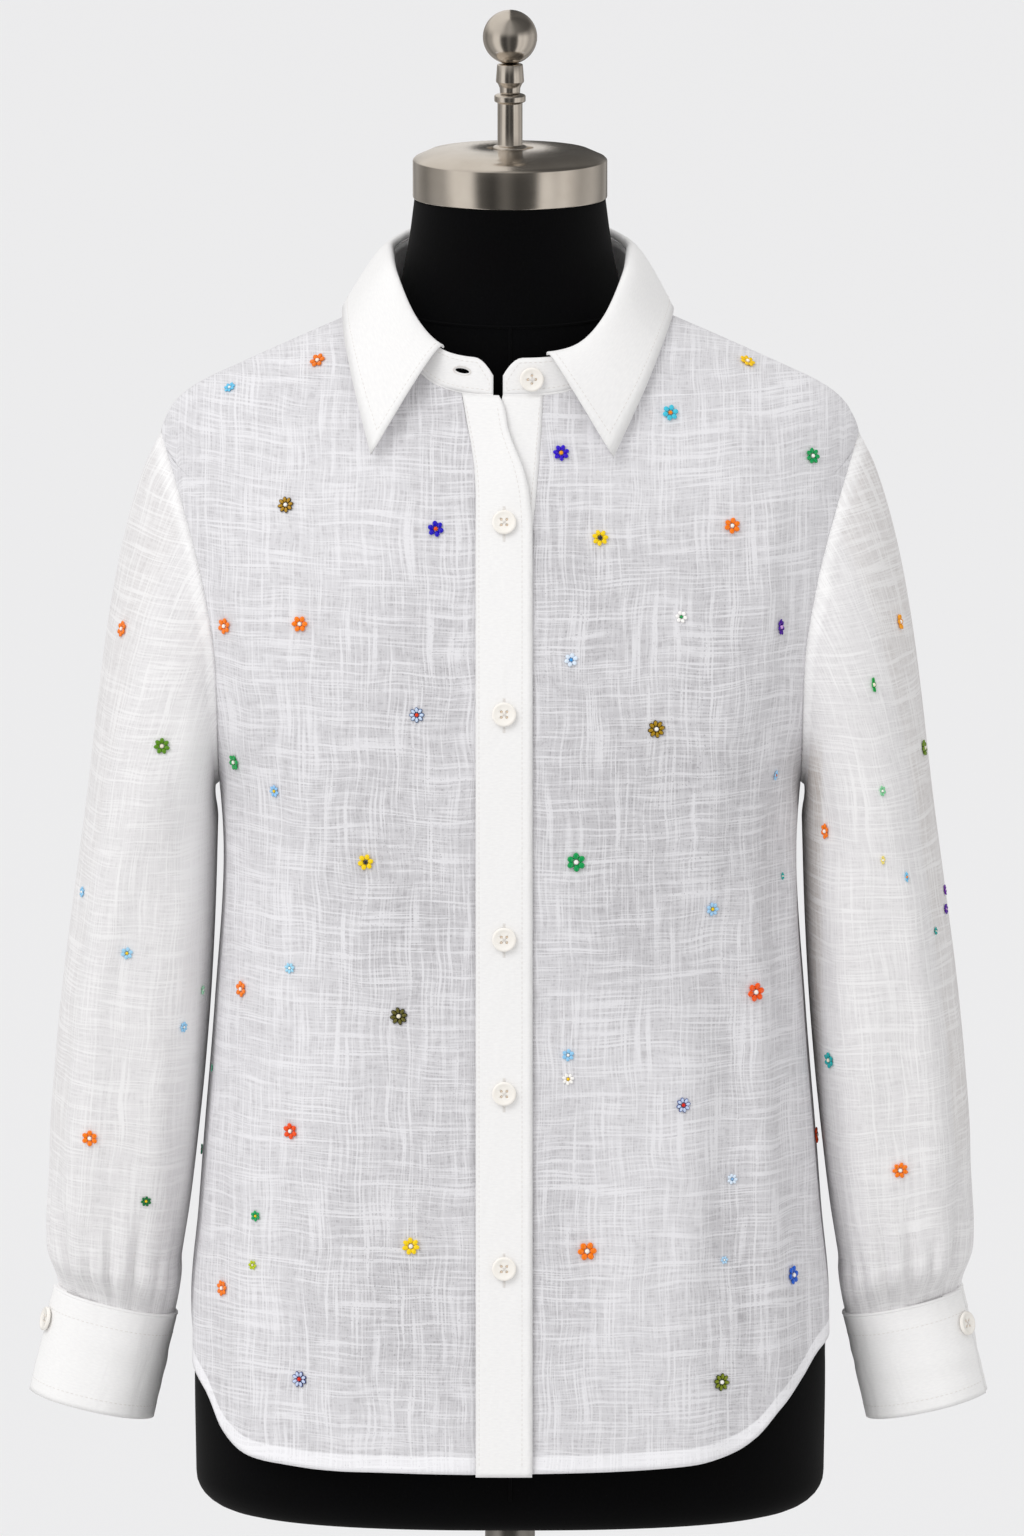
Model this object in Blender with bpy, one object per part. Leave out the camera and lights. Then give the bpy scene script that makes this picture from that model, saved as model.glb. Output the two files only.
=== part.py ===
# A white beaded shirt, buttoned on a limbless black dress form that stands on a steel pole and base.
# The front faces -Y and the wearer's right is at -X. The origin is the middle of the base's underside.

import math
from collections import namedtuple

import bmesh
import bpy
from mathutils import Matrix, Vector

# Driving sizes, in metres
FORM_BOTTOM = 0.680
HEM_FRONT = 0.721
HEM_BACK = 0.716
HEM_SIDE = 0.808
UNDERARM = 1.120
SHOULDER_POINT = 1.331
NECK_FRONT = 1.3650
NECK_SIDE = 1.408
NECK_BACK = 1.420
NECK_HALF_WIDTH = 0.0735
CENTRE_SHIFT = -0.0035
CUFF_HEIGHT = 0.065
BUTTON_RADIUS = 0.00725
BUTTON_THICK = 0.0026
POLE_RADIUS = 0.015
BASE_RADIUS = 0.180
BASE_THICK = 0.008
CAP_RADIUS = 0.0582
CAP_BOTTOM = 1.4722

# Cloth thicknesses, and the gap that parts pieces at a seam
GAUZE = 0.0012
HEM_THICK = 0.0022
POPLIN = 0.0018
SEAM_GAP = 0.0004

# How far the buttonhole side lies in front of the button side
OVERLAP_LIFT = 0.0023
OVERLAP_REACH = 0.25

# The shirt's level sections, at the middle of its cloth
Section = namedtuple("Section", "height half_width front_depth back_depth squareness")
SHIRT = [
    Section(0.700, 0.1930, 0.1340, 0.1290, 2.4),
    Section(0.810, 0.1915, 0.1330, 0.1280, 2.4),
    Section(0.860, 0.1870, 0.1320, 0.1250, 2.4),
    Section(0.900, 0.1840, 0.1310, 0.1220, 2.4),
    Section(0.986, 0.1770, 0.1290, 0.1160, 2.4),
    Section(1.077, 0.1715, 0.1280, 0.1130, 2.4),
    Section(1.120, 0.1740, 0.1270, 0.1130, 2.4),
    Section(1.165, 0.1880, 0.1250, 0.1140, 2.3),
    Section(1.200, 0.1980, 0.1210, 0.1140, 2.2),
    Section(1.245, 0.2060, 0.1130, 0.1110, 2.1),
    Section(1.295, 0.2110, 0.1020, 0.1020, 1.9),
    Section(1.331, 0.2085, 0.0920, 0.0920, 1.75),
    Section(1.345, 0.2030, 0.0880, 0.0880, 1.7),
    Section(1.353, 0.1965, 0.0860, 0.0860, 1.65),
    Section(1.361, 0.1850, 0.0835, 0.0840, 1.65),
    Section(1.372, 0.1620, 0.0800, 0.0810, 1.65),
    Section(1.383, 0.1375, 0.0775, 0.0785, 1.7),
    Section(1.394, 0.1120, 0.0755, 0.0765, 1.8),
    Section(1.402, 0.0920, 0.0745, 0.0750, 1.9),
    Section(1.408, 0.0735, 0.0730, 0.0735, 2.0),
    Section(1.425, 0.0700, 0.0700, 0.0710, 2.0),
]

# The dress form's level sections, at its black cover
FORM = [
    Section(0.700, 0.1890, 0.1120, 0.1180, 2.5),
    Section(0.760, 0.1898, 0.1150, 0.1200, 2.4),
    Section(0.810, 0.1880, 0.1150, 0.1190, 2.4),
    Section(0.870, 0.1760, 0.1110, 0.1120, 2.3),
    Section(0.960, 0.1450, 0.0980, 0.0900, 2.2),
    Section(1.040, 0.1420, 0.1010, 0.0900, 2.2),
    Section(1.100, 0.1520, 0.1120, 0.0960, 2.2),
    Section(1.150, 0.1620, 0.1180, 0.1010, 2.2),
    Section(1.200, 0.1660, 0.1120, 0.1030, 2.2),
    Section(1.260, 0.1700, 0.1010, 0.0990, 2.1),
    Section(1.300, 0.1740, 0.0920, 0.0910, 1.9),
    Section(1.330, 0.1750, 0.0840, 0.0840, 1.75),
    Section(1.348, 0.1670, 0.0780, 0.0780, 1.65),
    Section(1.362, 0.1480, 0.0740, 0.0745, 1.65),
    Section(1.375, 0.1220, 0.0710, 0.0720, 1.7),
    Section(1.388, 0.0940, 0.0690, 0.0695, 1.8),
    Section(1.400, 0.0780, 0.0670, 0.0680, 1.9),
    Section(1.412, 0.0690, 0.0650, 0.0660, 2.0),
    Section(1.430, 0.0635, 0.0620, 0.0625, 2.0),
    Section(1.450, 0.0600, 0.0595, 0.0600, 2.0),
    Section(1.4717, 0.0572, 0.0572, 0.0572, 2.0),
]

# The hem's height round the body: turn is 0 at the centre line and 1 at the side seam
Edge = namedtuple("Edge", "turn height")
HEM_RIGHT = [
    Edge(0.0, HEM_FRONT),
    Edge(0.36, HEM_FRONT),
    Edge(0.48, HEM_FRONT + 0.0018),
    Edge(0.53, HEM_FRONT + 0.0036),
    Edge(0.61, HEM_FRONT + 0.0094),
    Edge(0.68, HEM_FRONT + 0.0176),
    Edge(0.75, HEM_FRONT + 0.0385),
    Edge(0.84, HEM_FRONT + 0.0570),
    Edge(1.0, HEM_SIDE),
]
HEM_LEFT = [
    Edge(0.0, HEM_FRONT),
    Edge(0.20, HEM_FRONT + 0.001),
    Edge(0.33, HEM_FRONT + 0.003),
    Edge(0.40, HEM_FRONT + 0.0056),
    Edge(0.46, HEM_FRONT + 0.0096),
    Edge(0.51, HEM_FRONT + 0.0165),
    Edge(0.58, HEM_FRONT + 0.0320),
    Edge(0.71, HEM_FRONT + 0.0490),
    Edge(0.78, HEM_FRONT + 0.0630),
    Edge(1.0, HEM_SIDE),
]
HEM_REAR = [
    Edge(0.0, HEM_BACK),
    Edge(0.40, HEM_BACK + 0.003),
    Edge(0.66, HEM_BACK + 0.018),
    Edge(0.82, HEM_BACK + 0.044),
    Edge(1.0, HEM_SIDE),
]

# The armhole seam, read from the front: half_width is its distance from the centre line
Armhole = namedtuple("Armhole", "height front_width back_width")
ARMHOLE = [
    Armhole(UNDERARM, 0.1740, 0.1740),
    Armhole(1.140, 0.1745, 0.1775),
    Armhole(1.165, 0.1748, 0.1810),
    Armhole(1.200, 0.1760, 0.1850),
    Armhole(1.245, 0.1830, 0.1900),
    Armhole(1.295, 0.1965, 0.2000),
    Armhole(SHOULDER_POINT, 0.2085, 0.2085),
]

# Where the bands' edges run, seen from the front. The open neck spreads them near the top
Band = namedtuple("Band", "height right_inner right_edge left_edge left_inner")
BAND_OPENS = 1.285
BAND_ROLL = 0.0035
BAND_COLUMNS = 4
BAND_ROWS = 16
BANDS = [
    Band(0.700, -0.0205, 0.0132, -0.0205, 0.0135),
    Band(BAND_OPENS, -0.0205, 0.0132, -0.0205, 0.0135),
    Band(1.306, -0.0204, 0.0118, -0.0185, 0.0155),
    Band(1.3225, -0.0212, 0.0082, -0.0150, 0.0170),
    Band(1.3355, -0.0230, 0.0028, -0.0115, 0.0180),
    Band(1.3465, -0.0252, -0.0012, -0.0085, 0.0188),
    Band(1.3585, -0.0274, -0.0032, -0.0060, 0.0194),
    Band(1.3650, -0.0286, -0.0066, -0.0042, 0.0198),
]

# Rows of the body panels: how far up each one is at the centre line and at its outer end
Row = namedtuple("Row", "share centre outer")
ROWS = [
    Row(0.00, HEM_FRONT, HEM_SIDE),
    Row(0.46, 1.075, UNDERARM),
    Row(0.80, 1.275, SHOULDER_POINT),
    Row(1.00, NECK_FRONT, NECK_SIDE),
]

# The largest soft folds: side -1 is the wearer's right, 0 the back; depth is how far one stands out
Fold = namedtuple("Fold", "side turn width low high depth")
FOLDS = [
    Fold(-1, 0.30, 0.075, 0.70, 1.10, 0.0030),
    Fold(-1, 0.56, 0.085, 0.70, 1.16, 0.0050),
    Fold(-1, 0.80, 0.070, 0.72, 1.20, 0.0055),
    Fold(-1, 0.46, 0.080, 1.10, 1.34, 0.0025),
    Fold(1, 0.34, 0.075, 0.70, 1.08, 0.0035),
    Fold(1, 0.58, 0.080, 0.70, 1.20, 0.0055),
    Fold(1, 0.82, 0.070, 0.72, 1.22, 0.0060),
    Fold(1, 0.44, 0.075, 1.12, 1.36, 0.0035),
    Fold(0, -0.72, 0.100, 0.70, 1.24, 0.0060),
    Fold(0, -0.38, 0.100, 0.70, 1.18, 0.0050),
    Fold(0, 0.02, 0.110, 0.70, 1.26, 0.0045),
    Fold(0, 0.42, 0.100, 0.70, 1.16, 0.0055),
    Fold(0, 0.76, 0.100, 0.70, 1.24, 0.0060),
]

# The collar stand above the neck seam, by the angle round from the centre front
Stand = namedtuple("Stand", "angle rise lean")
STAND = [
    Stand(0.0, 0.0205, 0.0005),
    Stand(30.0, 0.0205, 0.0010),
    Stand(50.0, 0.0235, 0.0020),
    Stand(70.0, 0.0285, 0.0030),
    Stand(90.0, 0.0300, 0.0035),
    Stand(135.0, 0.0305, 0.0040),
    Stand(180.0, 0.0310, 0.0040),
]
STAND_RIGHT_END = -0.0100
STAND_LEFT_END = -0.0042
STAND_CORNER = 0.012
STAND_END_RISE = 0.010
STAND_LENGTH = 0.46
STAND_COLUMNS = 36
# How strongly the stand's columns crowd towards its curved ends
STAND_CROWDING = 0.035
BUTTONHOLE_SHARE = 0.56
BUTTONHOLE_IN = 15.0
BUTTONHOLE = Vector((0.0090, 0.0060, 0.0032))

# The collar fall's outer edge, from the centre back to its point, on each side
Fall = namedtuple("Fall", "share along forward height")
FALL_RIGHT = [
    Fall(0.00, 0.0000, -0.1020, 1.4090),
    Fall(0.22, 0.0560, -0.0930, 1.4070),
    Fall(0.42, 0.0900, -0.0540, 1.4050),
    Fall(0.58, 0.1000, -0.0080, 1.4040),
    Fall(0.72, 0.0990, 0.0380, 1.3960),
    Fall(0.86, 0.0930, 0.0700, 1.3690),
    Fall(1.00, 0.0828, 0.0920, 1.3305),
]
FALL_LEFT = [
    Fall(0.00, 0.0000, -0.1020, 1.4090),
    Fall(0.22, 0.0560, -0.0930, 1.4070),
    Fall(0.42, 0.0885, -0.0540, 1.4050),
    Fall(0.58, 0.0975, -0.0080, 1.4040),
    Fall(0.72, 0.0935, 0.0380, 1.3970),
    Fall(0.86, 0.0820, 0.0700, 1.3710),
    Fall(1.00, 0.0616, 0.0930, 1.3290),
]
FALL_RIGHT_END = 0.0400
FALL_LEFT_END = 0.0220
FALL_ROLL = 0.0075
FALL_COLUMNS = 34
FALL_ROWS = 7

# The sleeve's sections below the underarm, by height: outer and inner edge, middle and half depth
Sleeve = namedtuple("Sleeve", "height outer inner middle half_depth")
SLEEVE = [
    Sleeve(0.8300, 0.2745, 0.1985, -0.002, 0.0520),
    Sleeve(0.8600, 0.2768, 0.1932, 0.000, 0.0600),
    Sleeve(0.9000, 0.2764, 0.1882, 0.002, 0.0680),
    Sleeve(0.9500, 0.2730, 0.1830, 0.004, 0.0740),
    Sleeve(1.0000, 0.2680, 0.1792, 0.006, 0.0780),
    Sleeve(1.0500, 0.2615, 0.1768, 0.007, 0.0800),
    Sleeve(1.0950, 0.2555, 0.1755, 0.007, 0.0810),
]
SLEEVE_SQUARENESS = 2.3
# The sleeve's long soft folds, by the angle from its outer edge round the front, in degrees
Pleat = namedtuple("Pleat", "angle width depth")
SLEEVE_FOLDS = [
    Pleat(60.0, 16.0, 0.0040),
    Pleat(118.0, 17.0, 0.0044),
    Pleat(238.0, 18.0, 0.0040),
    Pleat(300.0, 17.0, 0.0040),
]
SLEEVE_FOLDS_TOP = 1.10
SLEEVE_FOLDS_BOTTOM = 0.80
# The sleeve's blouse over the cuff: how high above the cuff's edge it is and how far it stands out
BLOUSE_RISE = 0.012
BLOUSE_OUT = 0.0042
# The step from the armhole seam out to the sleeve, at the top and added under the arm
HEAD_STEP = 0.0012
UNDER_STEP = 0.0010
GATHERS = 11
GATHER_DEPTH = 0.0030
GATHER_RISE = 0.110
GATHER_SETTLE = 0.030

# The cuff: the middle of its top edge, and its lean out from the body
CUFF_TOP = Vector((0.2362, -0.003, 0.8045))
CUFF_LEAN = math.radians(13.0)
CUFF_HALF_WIDTH = 0.0365
CUFF_HALF_DEPTH = 0.0345
CUFF_FLARE = 0.0003
CUFF_OVERLAP = 26.0
CUFF_LAP_LIFT = 0.0023
CUFF_BUTTON_DROP = 0.020
CUFF_END_PAST_BUTTON = 9.0
CUFF_COLUMNS = 40
CUFF_ROWS = 3
# The angle round from the front at which each cuff's button sits
CUFF_BUTTON_ANGLE = {-1: 74.0, 1: 58.0}

FRONT_BUTTONS = [1.291, 1.179, 1.0445, 0.9515, 0.846]
COLLAR_BUTTON_OUT = 0.0128
COLLAR_BUTTON_SHARE = 0.38
BUTTON_HOLE_SPREAD = 0.0023
BUTTON_HOLE_RADIUS = 0.00085
BUTTON_SEAT = 0.0003

# Gaps between solid pieces that touch on the real thing
FIT_GAP = 0.0003
SLIDE_GAP = 0.0004

# The form's lower edge, its pole socket and the heights of its rings
FORM_AROUND = 32
FORM_EDGE_RADIUS = 0.020
FORM_EDGE_STEPS = (0.0, 35.0, 65.0)
FORM_EDGE_DEPTH = 0.15
SOCKET_DEPTH = 0.050
FORM_RINGS = [0.700, 0.760, 0.830, 0.895, 0.960, 1.030, 1.100, 1.155, 1.210, 1.265, 1.308]
FORM_RINGS += [1.335, 1.352, 1.366, 1.380, 1.395, 1.412, 1.434, 1.4717]

# Turned profiles, as radius and height. The cap, stem and catch stand on CAP_BOTTOM
Turn = namedtuple("Turn", "radius height")
CAP_FLOOR = 0.0255
CAP_PROFILE = [
    Turn(0.0, 0.0),
    Turn(CAP_RADIUS - 0.0008, 0.0),
    Turn(CAP_RADIUS, 0.0008),
    Turn(CAP_RADIUS, 0.0230),
    Turn(CAP_RADIUS - 0.0015, 0.0245),
    Turn(0.0480, 0.0284),
    Turn(0.0340, 0.0300),
    Turn(0.0145, 0.0306),
    Turn(0.0138, 0.0301),
    Turn(0.0138, CAP_FLOOR),
    Turn(0.0, CAP_FLOOR),
]
STEM_PROFILE = [
    Turn(0.0, 0.0258),
    Turn(0.0104, 0.0258),
    Turn(0.0104, 0.0306),
    Turn(0.0095, 0.0314),
    Turn(0.0075, 0.0318),
    Turn(0.0075, 0.0574),
    Turn(0.0094, 0.0582),
    Turn(0.0094, 0.0618),
    Turn(0.0080, 0.0626),
    Turn(0.0, 0.0626),
]
CATCH_PROFILE = [
    Turn(0.0, 0.0629),
    Turn(0.0060, 0.0629),
    Turn(0.0062, 0.0663),
    Turn(0.0074, 0.0690),
    Turn(0.0085, 0.0700),
    Turn(0.0077, 0.0806),
    Turn(0.0046, 0.0812),
    Turn(0.0, 0.0812),
]
BALL_LOW = 0.0815
BALL_RADIUS = 0.0163
BALL_FOOT = 0.005
BALL_STEPS = 9
HUB_RADIUS = 0.030
HUB_HEIGHT = 0.040
HUB_BEVEL = 0.006
PLATE_PROFILE = [
    Turn(0.0, 0.0),
    Turn(BASE_RADIUS - 0.001, 0.0),
    Turn(BASE_RADIUS, 0.001),
    Turn(BASE_RADIUS, BASE_THICK - 0.003),
    Turn(BASE_RADIUS - 0.003, BASE_THICK),
    Turn(0.0, BASE_THICK),
]

BODY_COLUMNS = 12
# Up the panels: the hem's two rows, then the rows below the arm, beside it and over the shoulder
ROW_SHARES = [0.0, 0.024, 0.085, 0.15, 0.22, 0.30, 0.38, 0.46, 0.53, 0.60, 0.67, 0.74, 0.80]
ROW_SHARES += [0.83, 0.86, 0.90, 0.95, 1.0]
HEM_REACH = 0.30
NECK_REACH = 0.80
SLEEVE_COLUMNS = 44
SLEEVE_HEAD_ROWS = 4
SLEEVE_LOWER_ROWS = 7


def read(table, column, at):
    """A column of a table at a place between its rows, on a smooth curve that doesn't overshoot them."""
    keys = [row[0] for row in table]
    values = [getattr(row, column) for row in table]
    at = min(max(at, keys[0]), keys[-1])
    slopes = [
        (values[i + 1] - values[i]) / (keys[i + 1] - keys[i]) for i in range(len(keys) - 1)
    ]
    tangents = [slopes[0]]
    for before, after in zip(slopes, slopes[1:]):
        tangents.append(2 * before * after / (before + after) if before * after > 0 else 0.0)
    tangents.append(slopes[-1])
    i = max(j for j in range(len(slopes)) if keys[j] <= at or j == 0)
    span = keys[i + 1] - keys[i]
    t = (at - keys[i]) / span
    return (
        values[i] * (1 + 2 * t) * (1 - t) ** 2
        + tangents[i] * span * t * (1 - t) ** 2
        + values[i + 1] * t * t * (3 - 2 * t)
        - tangents[i + 1] * span * t * t * (1 - t)
    )


def straight(table, column, at):
    """A column of a table at a place between its rows, on straight runs."""
    for low, high in zip(table, table[1:]):
        if at <= high[0]:
            share = (at - low[0]) / (high[0] - low[0])
            return getattr(low, column) * (1 - share) + getattr(high, column) * share
    return getattr(table[-1], column)


def ease(share):
    """0 below 0, 1 above 1, and a smooth S between."""
    share = min(max(share, 0.0), 1.0)
    return share * share * (3 - 2 * share)


def level_point(table, turn, height, back):
    """A point of a level section: turn runs from 0 at the centre line to 1 at the side, on +X."""
    angle = turn * math.pi / 2
    power = 2 / read(table, "squareness", height)
    depth = read(table, "back_depth" if back else "front_depth", height)
    x = read(table, "half_width", height) * max(math.sin(angle), 0.0) ** power
    y = depth * max(math.cos(angle), 0.0) ** power
    return Vector((x, y if back else -y, height))


def turn_at(x, height):
    """The turn at which the shirt's section is this far from the centre line."""
    share = min(abs(x) / read(SHIRT, "half_width", height), 1.0)
    return math.asin(share ** (read(SHIRT, "squareness", height) / 2)) / (math.pi / 2)


def neck_seam(angle, back):
    """The neck seam on +X by the angle from the centre line to the side: its height and its turn."""
    share = math.sin(math.radians(angle))
    if back:
        height = NECK_BACK + (NECK_SIDE - NECK_BACK) * share**2
    else:
        height = NECK_FRONT + (NECK_SIDE - NECK_FRONT) * share**4
    return height, turn_at(NECK_HALF_WIDTH * share, height)


def neck_angle(x):
    """The angle from the centre line at which the neck seam is this far out."""
    return math.degrees(math.asin(abs(x) / NECK_HALF_WIDTH))


def fold_lift(side, turn, height):
    """How far the soft folds stand out at a place on the body."""
    total = 0.0
    for fold in FOLDS:
        if fold.side != side:
            continue
        across = math.exp(-(((turn - fold.turn) / fold.width) ** 2))
        fade = (fold.high - fold.low) / 3
        along = ease((height - fold.low + fade) / fade) * ease((fold.high - height) / fade)
        total += fold.depth * across * along
    return total


def solid(name, bm, material):
    """Makes an object of a closed bmesh, with its faces pointing out."""
    bmesh.ops.recalc_face_normals(bm, faces=bm.faces)
    mesh = bpy.data.meshes.new(name)
    bm.to_mesh(mesh)
    bm.free()
    mesh.shade_smooth()
    mesh.set_sharp_from_angle(angle=math.radians(40))
    obj = bpy.data.objects.new(name, mesh)
    obj.data.materials.append(material)
    bpy.context.scene.collection.objects.link(obj)
    return obj


def wall(name, grid, thickness, material, ring=False, facing=1, seam=None):
    """A cloth wall of even or given thickness about a grid of middle points. A ring joins up with itself.

    Where seam(i, j) is true the wall's edge lies square to Y, so that two pieces meet on a clean line."""
    columns, rows = len(grid), len(grid[0])
    bm = bmesh.new()
    skins = ([], [])
    for i in range(columns):
        before, after = (i - 1, i + 1) if not ring else ((i - 1) % columns, (i + 1) % columns)
        for skin in skins:
            skin.append([])
        for j in range(rows):
            across = grid[min(after, columns - 1)][j] - grid[max(before, 0)][j]
            up = grid[i][min(j + 1, rows - 1)] - grid[i][max(j - 1, 0)]
            normal = across.cross(up) * facing
            if seam is not None and seam(i, j):
                normal.y = 0
            normal.normalize()
            thick = thickness(i, j) if callable(thickness) else (thickness, thickness)
            skins[0][i].append(bm.verts.new(grid[i][j] + normal * thick[0] / 2))
            skins[1][i].append(bm.verts.new(grid[i][j] - normal * thick[1] / 2))
    wraps = columns if ring else columns - 1
    for skin in skins:
        for i in range(wraps):
            k = (i + 1) % columns
            for j in range(rows - 1):
                bm.faces.new((skin[i][j], skin[k][j], skin[k][j + 1], skin[i][j + 1]))
    for j in (0, rows - 1):
        for i in range(wraps):
            k = (i + 1) % columns
            bm.faces.new((skins[0][i][j], skins[0][k][j], skins[1][k][j], skins[1][i][j]))
    if not ring:
        for i in (0, columns - 1):
            for j in range(rows - 1):
                bm.faces.new(
                    (skins[0][i][j], skins[0][i][j + 1], skins[1][i][j + 1], skins[1][i][j])
                )
    return solid(name, bm, material)


def turned(name, profile, segments, material, base=0.0, hollow=False):
    """A lathe-turned solid about Z from a profile of radius and height."""
    bm = bmesh.new()
    points = [bm.verts.new((radius, 0, base + height)) for radius, height in profile]
    edges = [bm.edges.new(pair) for pair in zip(points, points[1:])]
    if hollow:
        edges.append(bm.edges.new((points[-1], points[0])))
    bmesh.ops.spin(
        bm,
        geom=points + edges,
        cent=(0, 0, 0),
        axis=(0, 0, 1),
        angle=2 * math.pi,
        steps=segments,
        use_merge=True,
    )
    bmesh.ops.remove_doubles(bm, verts=bm.verts, dist=1e-6)
    return solid(name, bm, material)


def finish(name, colour, roughness, metallic=0.0):
    material = bpy.data.materials.new(name)
    material.use_nodes = True
    shader = material.node_tree.nodes["Principled BSDF"]
    shader.inputs["Base Color"].default_value = (*colour, 1.0)
    shader.inputs["Roughness"].default_value = roughness
    shader.inputs["Metallic"].default_value = metallic
    return material


def hem_or_cloth(i, j):
    """The turned hem is thicker, to the outside, over its first two rows."""
    return (HEM_THICK if j < 2 else GAUZE, GAUZE)


def side_or_shoulder(i, j):
    """Whether a panel's outermost point is on the side seam or the shoulder seam."""
    height = straight(ROWS, "outer", ROW_SHARES[j])
    outermost = i in (0, BODY_COLUMNS, 2 * BODY_COLUMNS - 2)
    return outermost and (height <= UNDERARM or height >= SHOULDER_POINT)


def outer_turn(share, back):
    """The turn at a row's outer end: the side seam, then the armhole, then the shoulder seam."""
    height = straight(ROWS, "outer", share)
    if height <= UNDERARM or height >= SHOULDER_POINT:
        return 1.0
    return turn_at(read(ARMHOLE, "back_width" if back else "front_width", height), height)


def panel_point(share, across, edge, hem, back):
    """The turn and height of a panel's point: share runs up from the hem, across runs out to the side.

    The edge gives the distance from the centre line at which the panel starts, by height."""
    centre = straight(ROWS, "centre", share)
    hem_centre = HEM_BACK if back else HEM_FRONT
    if back:
        centre += (HEM_BACK - HEM_FRONT) * ease(1 - share)
        centre += (NECK_BACK - NECK_FRONT) * ease(share * 3 - 2)
    near_neck = ease((share - NECK_REACH) / (1 - NECK_REACH))
    top = NECK_BACK if back else NECK_FRONT
    first = neck_angle(edge(top))
    seam_first = neck_seam(first, back)[1]
    seam_height, seam_turn = neck_seam(first + (90 - first) * across, back)
    start = turn_at(edge(centre), centre)
    way = across + ((seam_turn - seam_first) / (1 - seam_first) - across) * near_neck
    turn = start + (outer_turn(share, back) - start) * way
    rise = across**1.6
    height = centre + (straight(ROWS, "outer", share) - centre) * rise
    height += (seam_height - top - (NECK_SIDE - top) * rise) * near_neck
    plain_hem = hem_centre + (HEM_SIDE - hem_centre) * rise
    height += (read(hem, "height", turn) - plain_hem) * ease(1 - share / HEM_REACH)
    if across == 0:
        turn = turn_at(edge(height), height)
    return turn, height


def front_grid(side):
    """The middle points of a front: side -1 is the wearer's right, which carries the buttonholes."""
    hem = HEM_RIGHT if side < 0 else HEM_LEFT
    inner = "right_inner" if side < 0 else "left_inner"

    def edge(height):
        return abs(read(BANDS, inner, height)) + 2 * SEAM_GAP

    grid = []
    for i in range(BODY_COLUMNS + 1):
        across = i / BODY_COLUMNS
        column = []
        for share in ROW_SHARES:
            turn, height = panel_point(share, across, edge, hem, False)
            point = level_point(SHIRT, turn, height, False)
            lift = fold_lift(side, turn, height) * ease(across * 4) * ease((1 - across) * 5)
            if side < 0:
                lift += OVERLAP_LIFT * (1 - ease(across / OVERLAP_REACH))
            point += Vector((point.x * 0.5, point.y, 0)).normalized() * lift
            point.y -= SEAM_GAP / 2
            column.append(Vector((side * point.x, point.y, point.z)))
        grid.append(column)
    return grid


def back_grid():
    grid = []
    for i in range(-BODY_COLUMNS + 1, BODY_COLUMNS):
        across = abs(i) / (BODY_COLUMNS - 1)
        side = math.copysign(1, i)
        column = []
        for share in ROW_SHARES:
            turn, height = panel_point(share, across, lambda height: 0.0, HEM_REAR, True)
            point = level_point(SHIRT, turn, height, True)
            lift = fold_lift(0, side * turn, height) * ease((1 - across) * 5)
            point += Vector((point.x * 0.5, point.y, 0)).normalized() * lift
            point.y += SEAM_GAP / 2
            column.append(Vector((side * point.x, point.y, point.z)))
        grid.append(column)
    return grid


def front_surface(x, height):
    """A point of the shirt's front at a distance from the centre line."""
    point = level_point(SHIRT, turn_at(x, height), height, False)
    return Vector((x, point.y, height))


def band_grid(inner, edge, lift, roll, hem):
    """A front band's middle points, from its seam to its free edge."""
    grid = []
    for i in range(BAND_COLUMNS + 1):
        way = i / BAND_COLUMNS
        column = []
        for j in range(BAND_ROWS + 1):
            share = 1 - (1 - j / BAND_ROWS) ** 1.5
            height = hem + (NECK_FRONT - hem) * share
            x = read(BANDS, inner, height) * (1 - way) + read(BANDS, edge, height) * way
            top = neck_seam(neck_angle(x), False)[0] - 2 * SEAM_GAP
            height = hem + (top - hem) * share
            point = front_surface(x, height)
            swell = math.sin(math.pi * ease((height - BAND_OPENS) / (NECK_FRONT - BAND_OPENS)))
            point.y -= lift + roll * swell * way**2
            column.append(point)
        grid.append(column)
    return grid


def neck_point(angle):
    """A point of the neck seam, by the angle from the centre front round the wearer's right."""
    angle %= 360.0
    side = -1 if angle <= 180 else 1
    half = angle if angle <= 180 else 360 - angle
    back = half > 90
    height, turn = neck_seam(180 - half if back else half, back)
    point = level_point(SHIRT, turn, height, back)
    return Vector((side * point.x, point.y, point.z)), half


def stand_top(angle, rise_share=1.0):
    """The collar stand's middle above the neck seam, up to its top edge."""
    point, half = neck_point(angle)
    rise = read(STAND, "rise", half) * rise_share
    lean = read(STAND, "lean", half) * rise_share
    inward = Vector((-point.x, -point.y, 0)).normalized()
    near_right = 1 - ease((angle % 360.0) / 30) if angle < 180 else 0.0
    point.y -= OVERLAP_LIFT * near_right * 0.6
    along = (neck_point(angle + 1)[0] - neck_point(angle - 1)[0]).normalized()
    clear = (SEAM_GAP + GAUZE) / math.sqrt(1 - along.z**2)
    return point + inward * lean + Vector((0, 0, rise + clear))


def stand_grid():
    start = neck_angle(STAND_RIGHT_END)
    end = 360 + neck_angle(STAND_LEFT_END)
    grid = []
    for i in range(STAND_COLUMNS + 1):
        share = i / STAND_COLUMNS
        share -= STAND_CROWDING * math.sin(2 * math.pi * share)
        angle = start + (end - start) * share
        column = []
        near = min(share, 1 - share) * STAND_LENGTH
        corner = min(near / STAND_CORNER, 1.0)
        full = read(STAND, "rise", neck_point(angle)[1])
        rise = (STAND_END_RISE + (full - STAND_END_RISE) * (1 - (1 - corner) ** 2)) / full
        for j in range(3):
            column.append(stand_top(angle, rise * j / 2))
        grid.append(column)
    return grid


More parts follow.
